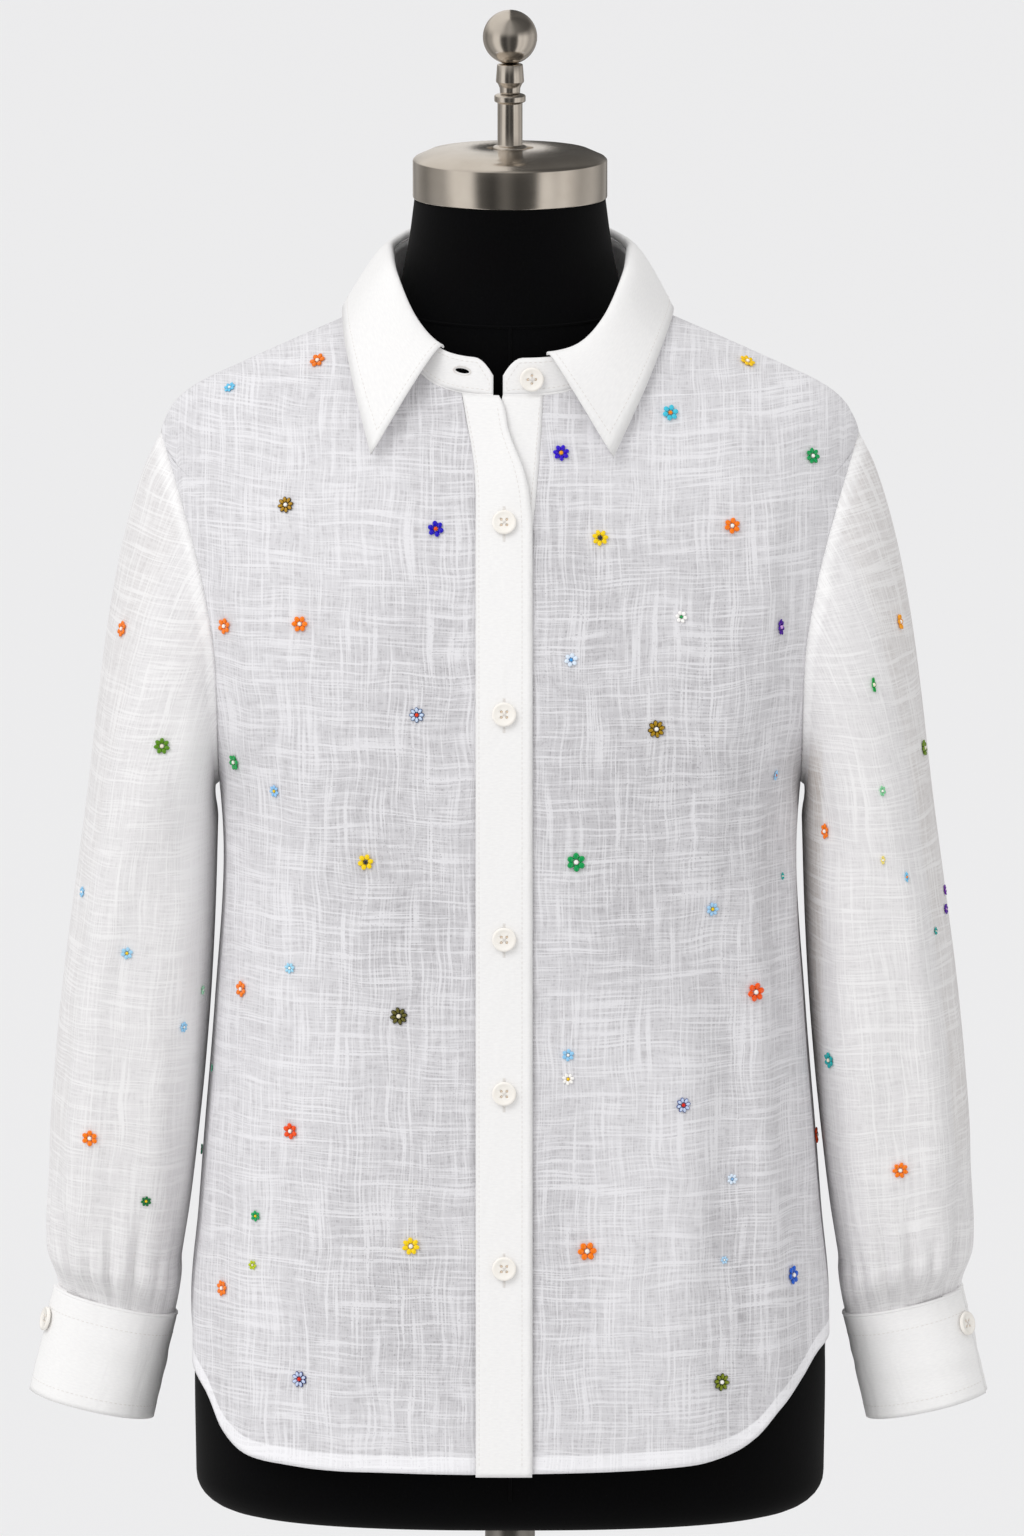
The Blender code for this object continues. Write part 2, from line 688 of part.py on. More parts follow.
def fall_grid():
    """The collar fall: it rises off the stand's top edge, rolls over it and lies down to its outer edge."""
    right = neck_angle(FALL_RIGHT_END)
    left = neck_angle(FALL_LEFT_END)
    grid = []
    for i in range(FALL_COLUMNS + 1):
        way = 2 * i / FALL_COLUMNS - 1
        share = abs(way)
        table = FALL_RIGHT if way < 0 else FALL_LEFT
        reach = (180 - right) if way < 0 else (180 - left)
        angle = 180 + math.copysign(reach * share ** 0.92, way)
        start = stand_top(angle)
        start.z += POPLIN / 2 + SEAM_GAP
        out = Vector((start.x, start.y, 0)).normalized()
        edge = Vector(
            (
                math.copysign(read(table, "along", share), way),
                -read(table, "forward", share),
                read(table, "height", share),
            )
        )
        roll = FALL_ROLL * (1 - 0.35 * ease((share - 0.7) / 0.3))
        first = start + Vector((0, 0, roll)) + out * 0.001
        second = start + Vector((0, 0, roll * 0.2)) + out * 0.2 * (edge - start).length
        column = []
        for j in range(FALL_ROWS + 1):
            t = (j / FALL_ROWS) ** 1.25
            column.append(
                start * (1 - t) ** 3
                + first * 3 * t * (1 - t) ** 2
                + second * 3 * t * t * (1 - t)
                + edge * t**3
            )
        grid.append(column)
    return grid


def armhole_ring():
    """The armhole seam on +X: from the shoulder point down the front, under the arm and up the back."""
    fine = 60
    halves = []
    for back, column in ((False, "front_width"), (True, "back_width")):
        points = []
        for i in range(fine + 1):
            share = (1 - math.cos(math.pi * i / fine)) / 2
            height = SHOULDER_POINT + (UNDERARM - SHOULDER_POINT) * share
            turn = turn_at(read(ARMHOLE, column, height), height)
            points.append(level_point(SHIRT, turn, height, back))
        lengths = [0.0]
        for before, after in zip(points, points[1:]):
            lengths.append(lengths[-1] + (after - before).length)
        steps = SLEEVE_COLUMNS // 2
        even = []
        for k in range(steps + 1):
            want = lengths[-1] * k / steps
            i = max(j for j in range(fine) if lengths[j] <= want)
            share = (want - lengths[i]) / (lengths[i + 1] - lengths[i])
            even.append(points[i].lerp(points[i + 1], min(share, 1.0)))
        halves.append(even)
    return halves[0][:-1] + list(reversed(halves[1]))[:-1]


def sleeve_section(angle, height):
    """A point of the sleeve's level section on +X: angle 0 is its outer edge and 90 the front."""
    outer = read(SLEEVE, "outer", height)
    inner = read(SLEEVE, "inner", height)
    power = 2 / SLEEVE_SQUARENESS
    cos, sin = math.cos(angle), math.sin(angle)
    x = (outer + inner) / 2 + (outer - inner) / 2 * math.copysign(abs(cos) ** power, cos)
    y = read(SLEEVE, "middle", height) - read(SLEEVE, "half_depth", height) * math.copysign(
        abs(sin) ** power, sin
    )
    return Vector((x, y, height))


def cuff_frame():
    """The cuff's axes on +X: out from the body, forward, and down its length."""
    out = Vector((math.cos(CUFF_LEAN), 0, math.sin(CUFF_LEAN)))
    down = Vector((math.sin(CUFF_LEAN), 0, -math.cos(CUFF_LEAN)))
    return out, Vector((0, -1, 0)), down


def cuff_point(angle, drop, grow=0.0):
    """A point of the cuff: angle 0 is its outer side and 90 the front; drop is how far below its top edge."""
    out, forward, down = cuff_frame()
    flare = CUFF_FLARE * drop / CUFF_HEIGHT + grow
    return (
        CUFF_TOP
        + out * (CUFF_HALF_WIDTH + flare) * math.cos(angle)
        + forward * (CUFF_HALF_DEPTH + flare) * math.sin(angle)
        + down * drop
    )


def gather(angle, height_above_cuff):
    """The gathers' wave: full a little above the cuff, fading up the sleeve."""
    fade = ease(1 - height_above_cuff / GATHER_RISE)
    settle = 0.35 + 0.65 * ease(height_above_cuff / GATHER_SETTLE)
    inner = 1 - 0.75 * ease(-math.cos(angle) * 1.4)
    return GATHER_DEPTH * fade * settle * inner * math.cos(GATHERS * angle)


def sleeve_folds(angle, height):
    """Two long soft folds down the front of the sleeve and two down its back."""
    total = 0.0
    for fold in SLEEVE_FOLDS:
        away = (math.degrees(angle) - fold.angle + 180) % 360 - 180
        total += fold.depth * math.exp(-((away / fold.width) ** 2))
    low = ease((height - SLEEVE_FOLDS_BOTTOM) / 0.05)
    return total * low * ease((SLEEVE_FOLDS_TOP - height) / 0.06)


def sleeve_grid(side):
    """The sleeve's middle points from the armhole down to the cuff."""
    ring = armhole_ring()
    top, bottom = SLEEVE[-1].height, SLEEVE[0].height
    grid = []
    for k in range(SLEEVE_COLUMNS):
        angle = 2 * math.pi * k / SLEEVE_COLUMNS
        seam = ring[k]
        below = sleeve_section(angle, top)
        length = (below - seam).length
        under = (1 - math.cos(angle)) / 2
        front = math.sin(angle)
        leave = Vector((0.42 + 0.15 * front**2 - 0.17 * under, -0.38 * front, -0.88)).normalized()
        start = seam + leave * 2.5 * SEAM_GAP + Vector((HEAD_STEP + UNDER_STEP * under**2, 0, 0))
        arrive = (sleeve_section(angle, top - 0.02) - below).normalized()
        column = []
        for j in range(SLEEVE_HEAD_ROWS):
            t = j / SLEEVE_HEAD_ROWS
            column.append(
                start * (1 + 2 * t) * (1 - t) ** 2
                + leave * length * t * (1 - t) ** 2 * 0.9
                + below * t * t * (3 - 2 * t)
                - arrive * length * t * t * (1 - t) * 0.9
            )
        for j in range(SLEEVE_LOWER_ROWS + 1):
            t = j / SLEEVE_LOWER_ROWS
            height = top + (bottom - top) * t ** 0.85
            point = sleeve_section(angle, height)
            away = Vector((math.cos(angle), -math.sin(angle), 0))
            point += away * (gather(angle, height - CUFF_TOP.z) + sleeve_folds(angle, height))
            column.append(point)
        for drop, grow in ((-BLOUSE_RISE, BLOUSE_OUT), (-SEAM_GAP, 0.0)):
            away = (cuff_point(angle, 0, 1) - cuff_point(angle, 0, 0)).normalized()
            column.append(cuff_point(angle, drop, grow) + away * gather(angle, -drop))
        grid.append([Vector((side * p.x, p.y, p.z)) for p in column])
    return grid


def cuff_start(side):
    """The angle, from the outer side, at which the cuff's top layer ends: just past its button."""
    return math.radians(90 - CUFF_BUTTON_ANGLE[side] - CUFF_END_PAST_BUTTON)


def cuff_grid(side):
    """A cuff is one band: it starts under the lap, goes once round and ends over its own start."""
    start = cuff_start(side)
    lap = math.radians(CUFF_OVERLAP)
    grid = []
    drops = [CUFF_HEIGHT * j / CUFF_ROWS for j in range(CUFF_ROWS + 1)]
    for i in range(CUFF_COLUMNS + 1):
        share = i / CUFF_COLUMNS
        angle = start + lap - (2 * math.pi + lap) * share
        lift = CUFF_LAP_LIFT * ease((share - 0.80) / 0.10)
        points = [cuff_point(angle, drop, lift) for drop in drops]
        grid.append([Vector((side * p.x, p.y, p.z)) for p in points])
    return grid


def button_mesh(material):
    """A four-hole shirt button with a raised rim, its back at the origin and its face along +Z."""
    r, t = BUTTON_RADIUS, BUTTON_THICK
    profile = [Turn(0, 0), Turn(0.82 * r, 0), Turn(r, 0.45 * t), Turn(0.93 * r, t), Turn(0.74 * r, t)]
    profile += [Turn(0.58 * r, 0.72 * t), Turn(0, 0.72 * t)]
    blank = turned("button_blank", profile, 16, material)
    cutters = bmesh.new()
    for quarter in range(4):
        angle = math.pi / 4 + quarter * math.pi / 2
        at = Vector((math.cos(angle), math.sin(angle), 0)) * BUTTON_HOLE_SPREAD
        bmesh.ops.create_cone(
            cutters,
            cap_ends=True,
            segments=5,
            radius1=BUTTON_HOLE_RADIUS,
            radius2=BUTTON_HOLE_RADIUS,
            depth=3 * t,
            matrix=Matrix.Translation(at),
        )
    cutter = solid("button_holes", cutters, material)
    cut = blank.modifiers.new("holes", "BOOLEAN")
    cut.operation = "DIFFERENCE"
    cut.object = cutter
    graph = bpy.context.evaluated_depsgraph_get()
    mesh = bpy.data.meshes.new_from_object(blank.evaluated_get(graph))
    bpy.data.objects.remove(blank)
    bpy.data.objects.remove(cutter)
    return mesh


def placed(x, y, z, point):
    """The matrix that sets a thing's axes and its origin."""
    return Matrix(
        ((x.x, y.x, z.x, point.x), (x.y, y.y, z.y, point.y), (x.z, y.z, z.z, point.z), (0, 0, 0, 1))
    )


def place_button(name, mesh, point, outward):
    """Sets a button on the cloth, its face outward and its holes square to the garment."""
    z = outward.normalized()
    x = Vector((0, 0, 1)).cross(z).normalized()
    y = z.cross(x)
    button = bpy.data.objects.new(name, mesh)
    button.matrix_world = placed(x, y, z, point)
    bpy.context.scene.collection.objects.link(button)
    return button


def make_form(material):
    """The dress form: a socket for the pole, a flat underside with a rounded edge, the torso and the neck."""
    around = FORM_AROUND

    def round_ring(radius, height):
        return [
            Vector((radius * math.cos(a), radius * math.sin(a), height))
            for a in (2 * math.pi * k / around for k in range(around))
        ]

    def body_ring(height, drop=0.0, inset=0.0):
        ring = []
        for k in range(around):
            a = (k / around * 4) % 4
            quarter, part = int(a), a - int(a)
            turn = 1 - part if quarter in (0, 2) else part
            back = quarter in (0, 1)
            point = level_point(FORM, turn, height, back)
            sign = 1 if quarter in (0, 3) else -1
            shrink = 1 - inset / FORM_EDGE_DEPTH
            ring.append(Vector((sign * point.x * shrink, point.y * shrink, height - drop)))
        return ring

    socket_radius = POLE_RADIUS + SLIDE_GAP
    rings = [round_ring(socket_radius, FORM_BOTTOM + SOCKET_DEPTH), round_ring(socket_radius, FORM_BOTTOM)]
    for step in FORM_EDGE_STEPS:
        a = math.radians(step)
        drop, inset = FORM_EDGE_RADIUS * math.cos(a), FORM_EDGE_RADIUS * (1 - math.sin(a))
        rings.append(body_ring(FORM[0].height, drop, inset))
    rings += [body_ring(height) for height in FORM_RINGS]
    bm = bmesh.new()
    loops = [[bm.verts.new(p) for p in ring] for ring in rings]
    for lower, upper in zip(loops, loops[1:]):
        for k in range(around):
            n = (k + 1) % around
            bm.faces.new((lower[k], lower[n], upper[n], upper[k]))
    bm.faces.new(loops[0])
    bm.faces.new(loops[-1])
    return solid("form_body", bm, material)


def make_stand(steel):
    """The neck cap and its finial above the form, and the pole, hub and base plate below it."""
    turned("neck_cap", CAP_PROFILE, 32, steel, base=CAP_BOTTOM)
    turned("finial_stem", STEM_PROFILE, 16, steel, base=CAP_BOTTOM)
    turned("finial_catch", CATCH_PROFILE, 16, steel, base=CAP_BOTTOM)
    start = math.asin(BALL_FOOT / BALL_RADIUS)
    ball = [Turn(0.0, 0.0)]
    for step in range(BALL_STEPS):
        angle = start + (math.pi - start) * step / BALL_STEPS
        height = BALL_RADIUS * (math.cos(start) - math.cos(angle))
        ball.append(Turn(BALL_RADIUS * math.sin(angle), height))
    ball.append(Turn(0.0, BALL_RADIUS * (math.cos(start) + 1)))
    turned("finial_ball", ball, 18, steel, base=CAP_BOTTOM + BALL_LOW)
    foot = BASE_THICK + FIT_GAP
    top = FORM_BOTTOM + SOCKET_DEPTH - FIT_GAP
    rod = [Turn(0, foot), Turn(POLE_RADIUS, foot), Turn(POLE_RADIUS, top), Turn(0, top)]
    turned("pole", rod, 24, steel)
    bore = POLE_RADIUS + SLIDE_GAP
    hub = [
        Turn(bore, 0),
        Turn(HUB_RADIUS, 0),
        Turn(HUB_RADIUS, HUB_HEIGHT - HUB_BEVEL),
        Turn(HUB_RADIUS - HUB_BEVEL, HUB_HEIGHT),
        Turn(bore, HUB_HEIGHT),
    ]
    turned("base_hub", hub, 24, steel, base=foot, hollow=True)
    turned("base_plate", PLATE_PROFILE, 40, steel)


def cut_buttonhole(stand, material):
    """The open buttonhole near the right end of the collar stand, cut right through."""
    angle = neck_angle(STAND_RIGHT_END) + BUTTONHOLE_IN
    share = BUTTONHOLE_SHARE
    middle = stand_top(angle, share)
    ahead = stand_top(angle + 2.0, share) - stand_top(angle - 2.0, share)
    x = ahead.normalized()
    y = Vector((0, 0, 1)).cross(x).normalized()
    z = x.cross(y)
    bm = bmesh.new()
    bmesh.ops.create_cone(bm, cap_ends=True, segments=10, radius1=0.5, radius2=0.5, depth=1.0)
    size = Matrix.Diagonal((BUTTONHOLE.x, BUTTONHOLE.z, BUTTONHOLE.y * 2, 1))
    bmesh.ops.transform(bm, matrix=placed(x, z, y, middle) @ size, verts=bm.verts)
    cutter = solid("buttonhole_cutter", bm, material)
    cutter.hide_render = True
    cutter.display_type = "WIRE"
    cut = stand.modifiers.new("buttonhole", "BOOLEAN")
    cut.operation = "DIFFERENCE"
    cut.object = cutter


def make_shirt(gauze, poplin, shell):
    """The cloth pieces in the order they are sewn, then the buttons."""
    for side, hand in ((-1, "right"), (1, "left")):
        wall(
            f"front_{hand}",
            front_grid(side),
            hem_or_cloth,
            gauze,
            facing=side,
            seam=lambda i, j: i > 0 and side_or_shoulder(i, j),
        )
    wall(
        "back",
        back_grid(),
        hem_or_cloth,
        gauze,
        facing=-1,
        seam=lambda i, j: i != BODY_COLUMNS and side_or_shoulder(i, j),
    )
    wall("button_band", band_grid("left_inner", "left_edge", 0.0, 0.0, HEM_FRONT), POPLIN, poplin)
    wall(
        "buttonhole_band",
        band_grid("right_inner", "right_edge", OVERLAP_LIFT, BAND_ROLL, HEM_FRONT - 0.0015),
        POPLIN,
        poplin,
    )
    stand = wall("collar_stand", stand_grid(), POPLIN, poplin)
    cut_buttonhole(stand, poplin)
    wall("collar_fall", fall_grid(), POPLIN, poplin)
    for side, hand in ((-1, "right"), (1, "left")):
        wall(f"sleeve_{hand}", sleeve_grid(side), GAUZE, gauze, ring=True, facing=side)
        wall(f"cuff_{hand}", cuff_grid(side), POPLIN, poplin)
    mesh = button_mesh(shell)
    clear = POPLIN / 2 + BUTTON_SEAT
    for number, height in enumerate(FRONT_BUTTONS, 1):
        point = front_surface(CENTRE_SHIFT, height)
        slope = front_surface(CENTRE_SHIFT, height + 0.007) - front_surface(CENTRE_SHIFT, height - 0.007)
        outward = Vector((1, 0, 0)).cross(slope).normalized()
        point += outward * (OVERLAP_LIFT + clear + BUTTON_SEAT)
        place_button(f"front_button_{number}", mesh, point, outward)
    angle = 360 - neck_angle(COLLAR_BUTTON_OUT)
    share = COLLAR_BUTTON_SHARE
    ahead = stand_top(angle + 3, share) - stand_top(angle - 3, share)
    outward = ahead.cross(stand_top(angle, 0.9) - stand_top(angle, 0.1)).normalized()
    outward = outward if outward.y < 0 else -outward
    place_button("collar_button", mesh, stand_top(angle, share) + outward * (clear + BUTTON_SEAT), outward)
    for side, hand in ((-1, "right"), (1, "left")):
        angle = math.radians(90 - CUFF_BUTTON_ANGLE[side])
        drop, lift = CUFF_BUTTON_DROP, CUFF_LAP_LIFT
        point = cuff_point(angle, drop, lift)
        ahead = cuff_point(angle + 0.05, drop, lift) - cuff_point(angle - 0.05, drop, lift)
        outward = (cuff_point(angle, drop + 0.005, lift) - point).cross(ahead).normalized()
        outward = outward if outward.x > 0 else -outward
        point += outward * clear
        point.x, outward.x = side * point.x, side * outward.x
        place_button(f"cuff_button_{hand}", mesh, point, outward)


for old in list(bpy.data.objects):
    bpy.data.objects.remove(old)
make_shirt(
    finish("white gauze", (0.84, 0.84, 0.85), 0.9),
    finish("white poplin", (0.88, 0.88, 0.87), 0.8),
    finish("shell button", (0.88, 0.84, 0.78), 0.3),
)
make_form(finish("black jersey", (0.012, 0.012, 0.013), 0.85))
make_stand(finish("brushed steel", (0.55, 0.53, 0.50), 0.3, 1.0))
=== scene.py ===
# A white beaded shirt, buttoned on a limbless black dress form that stands on a steel pole and base.
# The front faces -Y and the wearer's right is at -X. The origin is the middle of the base's underside.
import math
import random
from collections import namedtuple

import bmesh
import bpy
from mathutils import Matrix, Vector, noise
from mathutils.bvhtree import BVHTree


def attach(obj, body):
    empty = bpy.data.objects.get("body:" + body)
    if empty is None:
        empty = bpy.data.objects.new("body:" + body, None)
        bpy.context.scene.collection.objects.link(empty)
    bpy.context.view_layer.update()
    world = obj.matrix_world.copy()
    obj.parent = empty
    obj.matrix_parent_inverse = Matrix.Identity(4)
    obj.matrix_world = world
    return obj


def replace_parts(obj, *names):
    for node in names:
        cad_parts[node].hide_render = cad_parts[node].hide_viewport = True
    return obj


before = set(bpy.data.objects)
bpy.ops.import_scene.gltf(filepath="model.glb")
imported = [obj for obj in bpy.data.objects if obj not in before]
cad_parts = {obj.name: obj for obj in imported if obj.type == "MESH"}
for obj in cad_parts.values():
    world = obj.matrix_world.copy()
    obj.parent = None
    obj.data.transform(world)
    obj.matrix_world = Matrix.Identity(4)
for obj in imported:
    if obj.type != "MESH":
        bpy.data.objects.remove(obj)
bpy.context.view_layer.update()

# --- The studio -----------------------------------------------------------------------------------
# A pale seamless floor that runs far behind, so that it is all the background there is. The light
# comes from everywhere, with a soft key from the front left, and the camera looks down by 9 degrees.
CAMERA_DISTANCE = 16.0
CAMERA_RISE = math.radians(9.0)
CAMERA_TARGET = Vector((0.0012, 0.0, 1.127))
VIEW_HEIGHT = 0.9216
SENSOR = 36.0
FLOOR_SIZE = 80.0
FLOOR_LIGHT, FLOOR_DARK = "#F1F1F2", "#EDEDEE"
WORLD_COLOUR = "#FAFAFA"
WORLD_STRENGTH = 0.83
KEY_STRENGTH = 1.0
KEY_SOFTNESS = math.radians(34.0)
KEY_TURN = math.radians(-36.0)
KEY_DROP = math.radians(50.0)
# What polished metal mirrors round the room: soft boxes and dark gaps, by the turn from the front
MIRRORED = [
    (-180, 1.00), (-171, 0.75), (-158, 0.30), (-146, 0.46), (-120, 0.26), (-104, 0.44),
    (-86, 0.50), (-70, 1.00), (-48, 1.00), (-38, 0.12), (-20, 0.05), (-6, 0.20),
    (8, 0.07), (30, 0.10), (39, 1.00), (48, 0.95), (56, 0.78), (68, 0.95),
    (92, 0.50), (116, 0.62), (140, 0.30), (156, 0.50), (170, 0.14), (180, 0.06),
]
# The same room seen by what leans upward, and the upward slopes between which one gives way to the other
MIRRORED_ABOVE = [
    (-180, 1.00), (-135, 1.00), (-95, 0.95), (-45, 0.80), (-20, 0.40), (0, 0.50),
    (30, 0.22), (75, 0.12), (120, 0.10), (150, 0.16), (180, 0.10),
]
ABOVE_FROM, ABOVE_TO = 0.05, 0.40
MIRROR_TINT = (1.0, 0.97, 0.93)
# Vertices this close are one
SAME_PLACE = 1e-6


def linear(colour):
    """An sRGB hex colour as the linear colour that Blender's nodes take."""
    parts = [int(colour[k : k + 2], 16) / 255 for k in (1, 3, 5)]
    return (*(c / 12.92 if c <= 0.04045 else ((c + 0.055) / 1.055) ** 2.4 for c in parts), 1.0)


def add(tree, kind, settings=None, values=None, links=None):
    """Adds a node, with its settings, the values of its sockets and the links into them."""
    new = tree.nodes.new("ShaderNode" + kind)
    for name, value in (settings or {}).items():
        setattr(new, name, value)
    for socket, value in (values or {}).items():
        new.inputs[socket].default_value = value
    for socket, source in (links or {}).items():
        tree.links.new(source, new.inputs[socket])
    return new


def material(name, roughness, metallic=0.0):
    """A new material with its Principled shader."""
    new = bpy.data.materials.new(name)
    new.use_nodes = True
    shader = new.node_tree.nodes["Principled BSDF"]
    shader.inputs["Roughness"].default_value = roughness
    shader.inputs["Metallic"].default_value = metallic
    return new, new.node_tree, shader


def dress(tree, shader, links, values=None):
    """Links sockets into a material's shader and sets its other values."""
    for name, source in links.items():
        tree.links.new(source, shader.inputs[name])
    for name, value in (values or {}).items():
        shader.inputs[name].default_value = value


def mix(tree, share, first, second, blend="MIX"):
    """Mixes two colours, each a hex colour or a socket, by a share that is a number or a socket."""
    new = add(tree, "Mix", {"data_type": "RGBA", "blend_type": blend})
    for socket, value in ((0, share), (6, first), (7, second)):
        if isinstance(value, bpy.types.NodeSocket):
            tree.links.new(value, new.inputs[socket])
        else:
            new.inputs[socket].default_value = linear(value) if isinstance(value, str) else value
    return new.outputs[2]


def speckle(tree, place, scale=1.0, detail=2.0, stretch=None, flat=False, **values):
    """Noise over a map: as fine as its scale, or as its stretch along each axis."""
    if stretch:
        place = add(tree, "Mapping", values={"Scale": stretch}, links={"Vector": place}).outputs["Vector"]
    plane = {"noise_dimensions": "2D"} if flat else None
    values = {"Scale": scale, "Detail": detail, **values}
    return add(tree, "TexNoise", plane, values, {"Vector": place}).outputs["Fac"]


def relief(tree, height, strength, distance, normal=None):
    """A bump, laid over another one where its normal is given."""
    links = {"Height": height} if normal is None else {"Height": height, "Normal": normal}
    values = {"Strength": strength, "Distance": distance}
    return add(tree, "Bump", values=values, links=links).outputs["Normal"]


def piece(name, bm, finish, smooth=40.0):
    """Makes an object at the origin from a bmesh."""
    mesh = bpy.data.meshes.new(name)
    bm.to_mesh(mesh)
    bm.free()
    mesh.shade_smooth()
    if smooth:
        mesh.set_sharp_from_angle(angle=math.radians(smooth))
    mesh.materials.append(finish)
    obj = bpy.data.objects.new(name, mesh)
    bpy.context.scene.collection.objects.link(obj)
    return obj


camera = bpy.data.objects.new("camera", bpy.data.cameras.new("camera"))
camera.data.sensor_width = SENSOR
camera.data.sensor_fit = "VERTICAL"
camera.data.sensor_height = SENSOR
camera.data.lens = SENSOR * CAMERA_DISTANCE / VIEW_HEIGHT
camera.data.clip_end = 200.0
back_and_up = Vector((0, -math.cos(CAMERA_RISE), math.sin(CAMERA_RISE)))
camera.location = CAMERA_TARGET + CAMERA_DISTANCE * back_and_up
camera.rotation_euler = (math.pi / 2 - CAMERA_RISE, 0, 0)
bpy.context.scene.collection.objects.link(camera)
bpy.context.scene.camera = camera
bpy.context.scene.view_settings.view_transform = "Standard"

world = bpy.data.worlds.new("studio")
world.use_nodes = True
tree = world.node_tree
place = add(tree, "TexCoord")
axes = add(tree, "SeparateXYZ", links={"Vector": place.outputs["Generated"]})
ahead = add(tree, "Math", {"operation": "MULTIPLY"}, {1: -1.0}, {0: axes.outputs["Y"]})
turn = add(tree, "Math", {"operation": "ARCTAN2"}, links={0: axes.outputs["X"], 1: ahead.outputs[0]})
whole_turn = {"From Min": -math.pi, "From Max": math.pi}
share = add(tree, "MapRange", values=whole_turn, links={"Value": turn.outputs[0]})
rooms = []
for greys in (MIRRORED, MIRRORED_ABOVE):
    rooms.append(add(tree, "ValToRGB", links={"Fac": share.outputs["Result"]}))
    stops = rooms[-1].color_ramp.elements
    for number, (degrees, grey) in enumerate(greys):
        at = (degrees + 180) / 360
        stop = stops[number] if number in (0, 1) else stops.new(at)
        stop.position = at
        stop.color = (*(grey * part for part in MIRROR_TINT), 1.0)
slope = {"From Min": ABOVE_FROM, "From Max": ABOVE_TO}
above = add(tree, "MapRange", values=slope, links={"Value": axes.outputs["Z"]})
room = mix(tree, above.outputs["Result"], rooms[0].outputs["Color"], rooms[1].outputs["Color"])
seen = mix(tree, add(tree, "LightPath").outputs["Is Glossy Ray"], WORLD_COLOUR, room)
tree.links.new(seen, tree.nodes["Background"].inputs["Color"])
tree.nodes["Background"].inputs["Strength"].default_value = WORLD_STRENGTH
bpy.context.scene.world = world

key = bpy.data.objects.new("key_light", bpy.data.lights.new("key_light", "SUN"))
key.visible_glossy = False
key.data.energy = KEY_STRENGTH
key.data.angle = KEY_SOFTNESS
key.rotation_euler = (KEY_DROP, 0, KEY_TURN)
bpy.context.scene.collection.objects.link(key)

# Matt vinyl sheet: an even pale grey with almost no grain
floor_finish, tree, shader = material("matt vinyl floor", 0.85)
mottle = add(tree, "TexNoise", values={"Scale": 3.0, "Detail": 2.0})
dress(tree, shader, {"Base Color": mix(tree, mottle.outputs["Fac"], FLOOR_LIGHT, FLOOR_DARK)})
bm = bmesh.new()
bmesh.ops.create_grid(bm, x_segments=1, y_segments=1, size=FLOOR_SIZE / 2)
floor = piece("studio_floor", bm, floor_finish)
floor.visible_glossy = False
floor.visible_diffuse = False

# --- The dress form -------------------------------------------------------------------------------
# A hard torso without limbs, covered in fine black jersey pulled tight. The cover is sewn in panels, with a
# seam down each side too; drawn are the seam round the base of the neck and those down the centre front and
# back.
Section = namedtuple("Section", "height half_width front_depth back_depth squareness")
# The dress form's level sections, at its black cover
FORM = [
    Section(0.700, 0.1890, 0.1120, 0.1180, 2.5),
    Section(0.760, 0.1898, 0.1150, 0.1200, 2.4),
    Section(0.810, 0.1880, 0.1150, 0.1190, 2.4),
    Section(0.870, 0.1760, 0.1110, 0.1120, 2.3),
    Section(0.960, 0.1450, 0.0980, 0.0900, 2.2),
    Section(1.040, 0.1420, 0.1010, 0.0900, 2.2),
    Section(1.100, 0.1520, 0.1120, 0.0960, 2.2),
    Section(1.150, 0.1620, 0.1180, 0.1010, 2.2),
    Section(1.200, 0.1660, 0.1120, 0.1030, 2.2),
    Section(1.260, 0.1700, 0.1010, 0.0990, 2.1),
    Section(1.300, 0.1740, 0.0920, 0.0910, 1.9),
    Section(1.330, 0.1750, 0.0840, 0.0840, 1.75),
    Section(1.348, 0.1670, 0.0780, 0.0780, 1.65),
    Section(1.362, 0.1480, 0.0740, 0.0745, 1.65),
    Section(1.375, 0.1220, 0.0710, 0.0720, 1.7),
    Section(1.388, 0.0940, 0.0690, 0.0695, 1.8),
    Section(1.400, 0.0780, 0.0670, 0.0680, 1.9),
    Section(1.412, 0.0690, 0.0650, 0.0660, 2.0),
    Section(1.430, 0.0635, 0.0620, 0.0625, 2.0),
    Section(1.450, 0.0600, 0.0595, 0.0600, 2.0),
    Section(1.4717, 0.0572, 0.0572, 0.0572, 2.0),
]
# The cover's sizes, the rod's and its socket's, and how finely the cover is drawn
FORM_BOTTOM = 0.680
FORM_EDGE_RADIUS = 0.020
FORM_EDGE_DEPTH = 0.15
POLE_RADIUS = 0.015
SLIDE_GAP = 0.0004
SOCKET_DEPTH = 0.050
FORM_COLUMNS = 96
FORM_ROWS = 150
FORM_EDGE_FINE = 8
FORM_SEAM = 0.0010
CURVES = {}
READ = {}


def read(table, column, at):
    """A column of a table at a place between its rows, on a smooth curve that doesn't overshoot them."""
    label = (id(table), column)
    asked = at
    known = READ.get((label, asked))
    if known is not None:
        return known
    if label not in CURVES:
        keys = [row[0] for row in table]
        values = [getattr(row, column) for row in table]
        slopes = [(values[i + 1] - values[i]) / (keys[i + 1] - keys[i]) for i in range(len(keys) - 1)]
        tangents = [slopes[0]]
        for before, after in zip(slopes, slopes[1:]):
            tangents.append(2 * before * after / (before + after) if before * after > 0 else 0.0)
        tangents.append(slopes[-1])
        CURVES[label] = keys, values, tangents
    keys, values, tangents = CURVES[label]
    at = min(max(at, keys[0]), keys[-1])
    i = 0
    while i < len(keys) - 2 and keys[i + 1] <= at:
        i += 1
    span = keys[i + 1] - keys[i]
    t = (at - keys[i]) / span
    value = values[i] * (1 + 2 * t) * (1 - t) ** 2 + tangents[i] * span * t * (1 - t) ** 2
    value += values[i + 1] * t * t * (3 - 2 * t) - tangents[i + 1] * span * t * t * (1 - t)
    READ[label, asked] = value
    return value


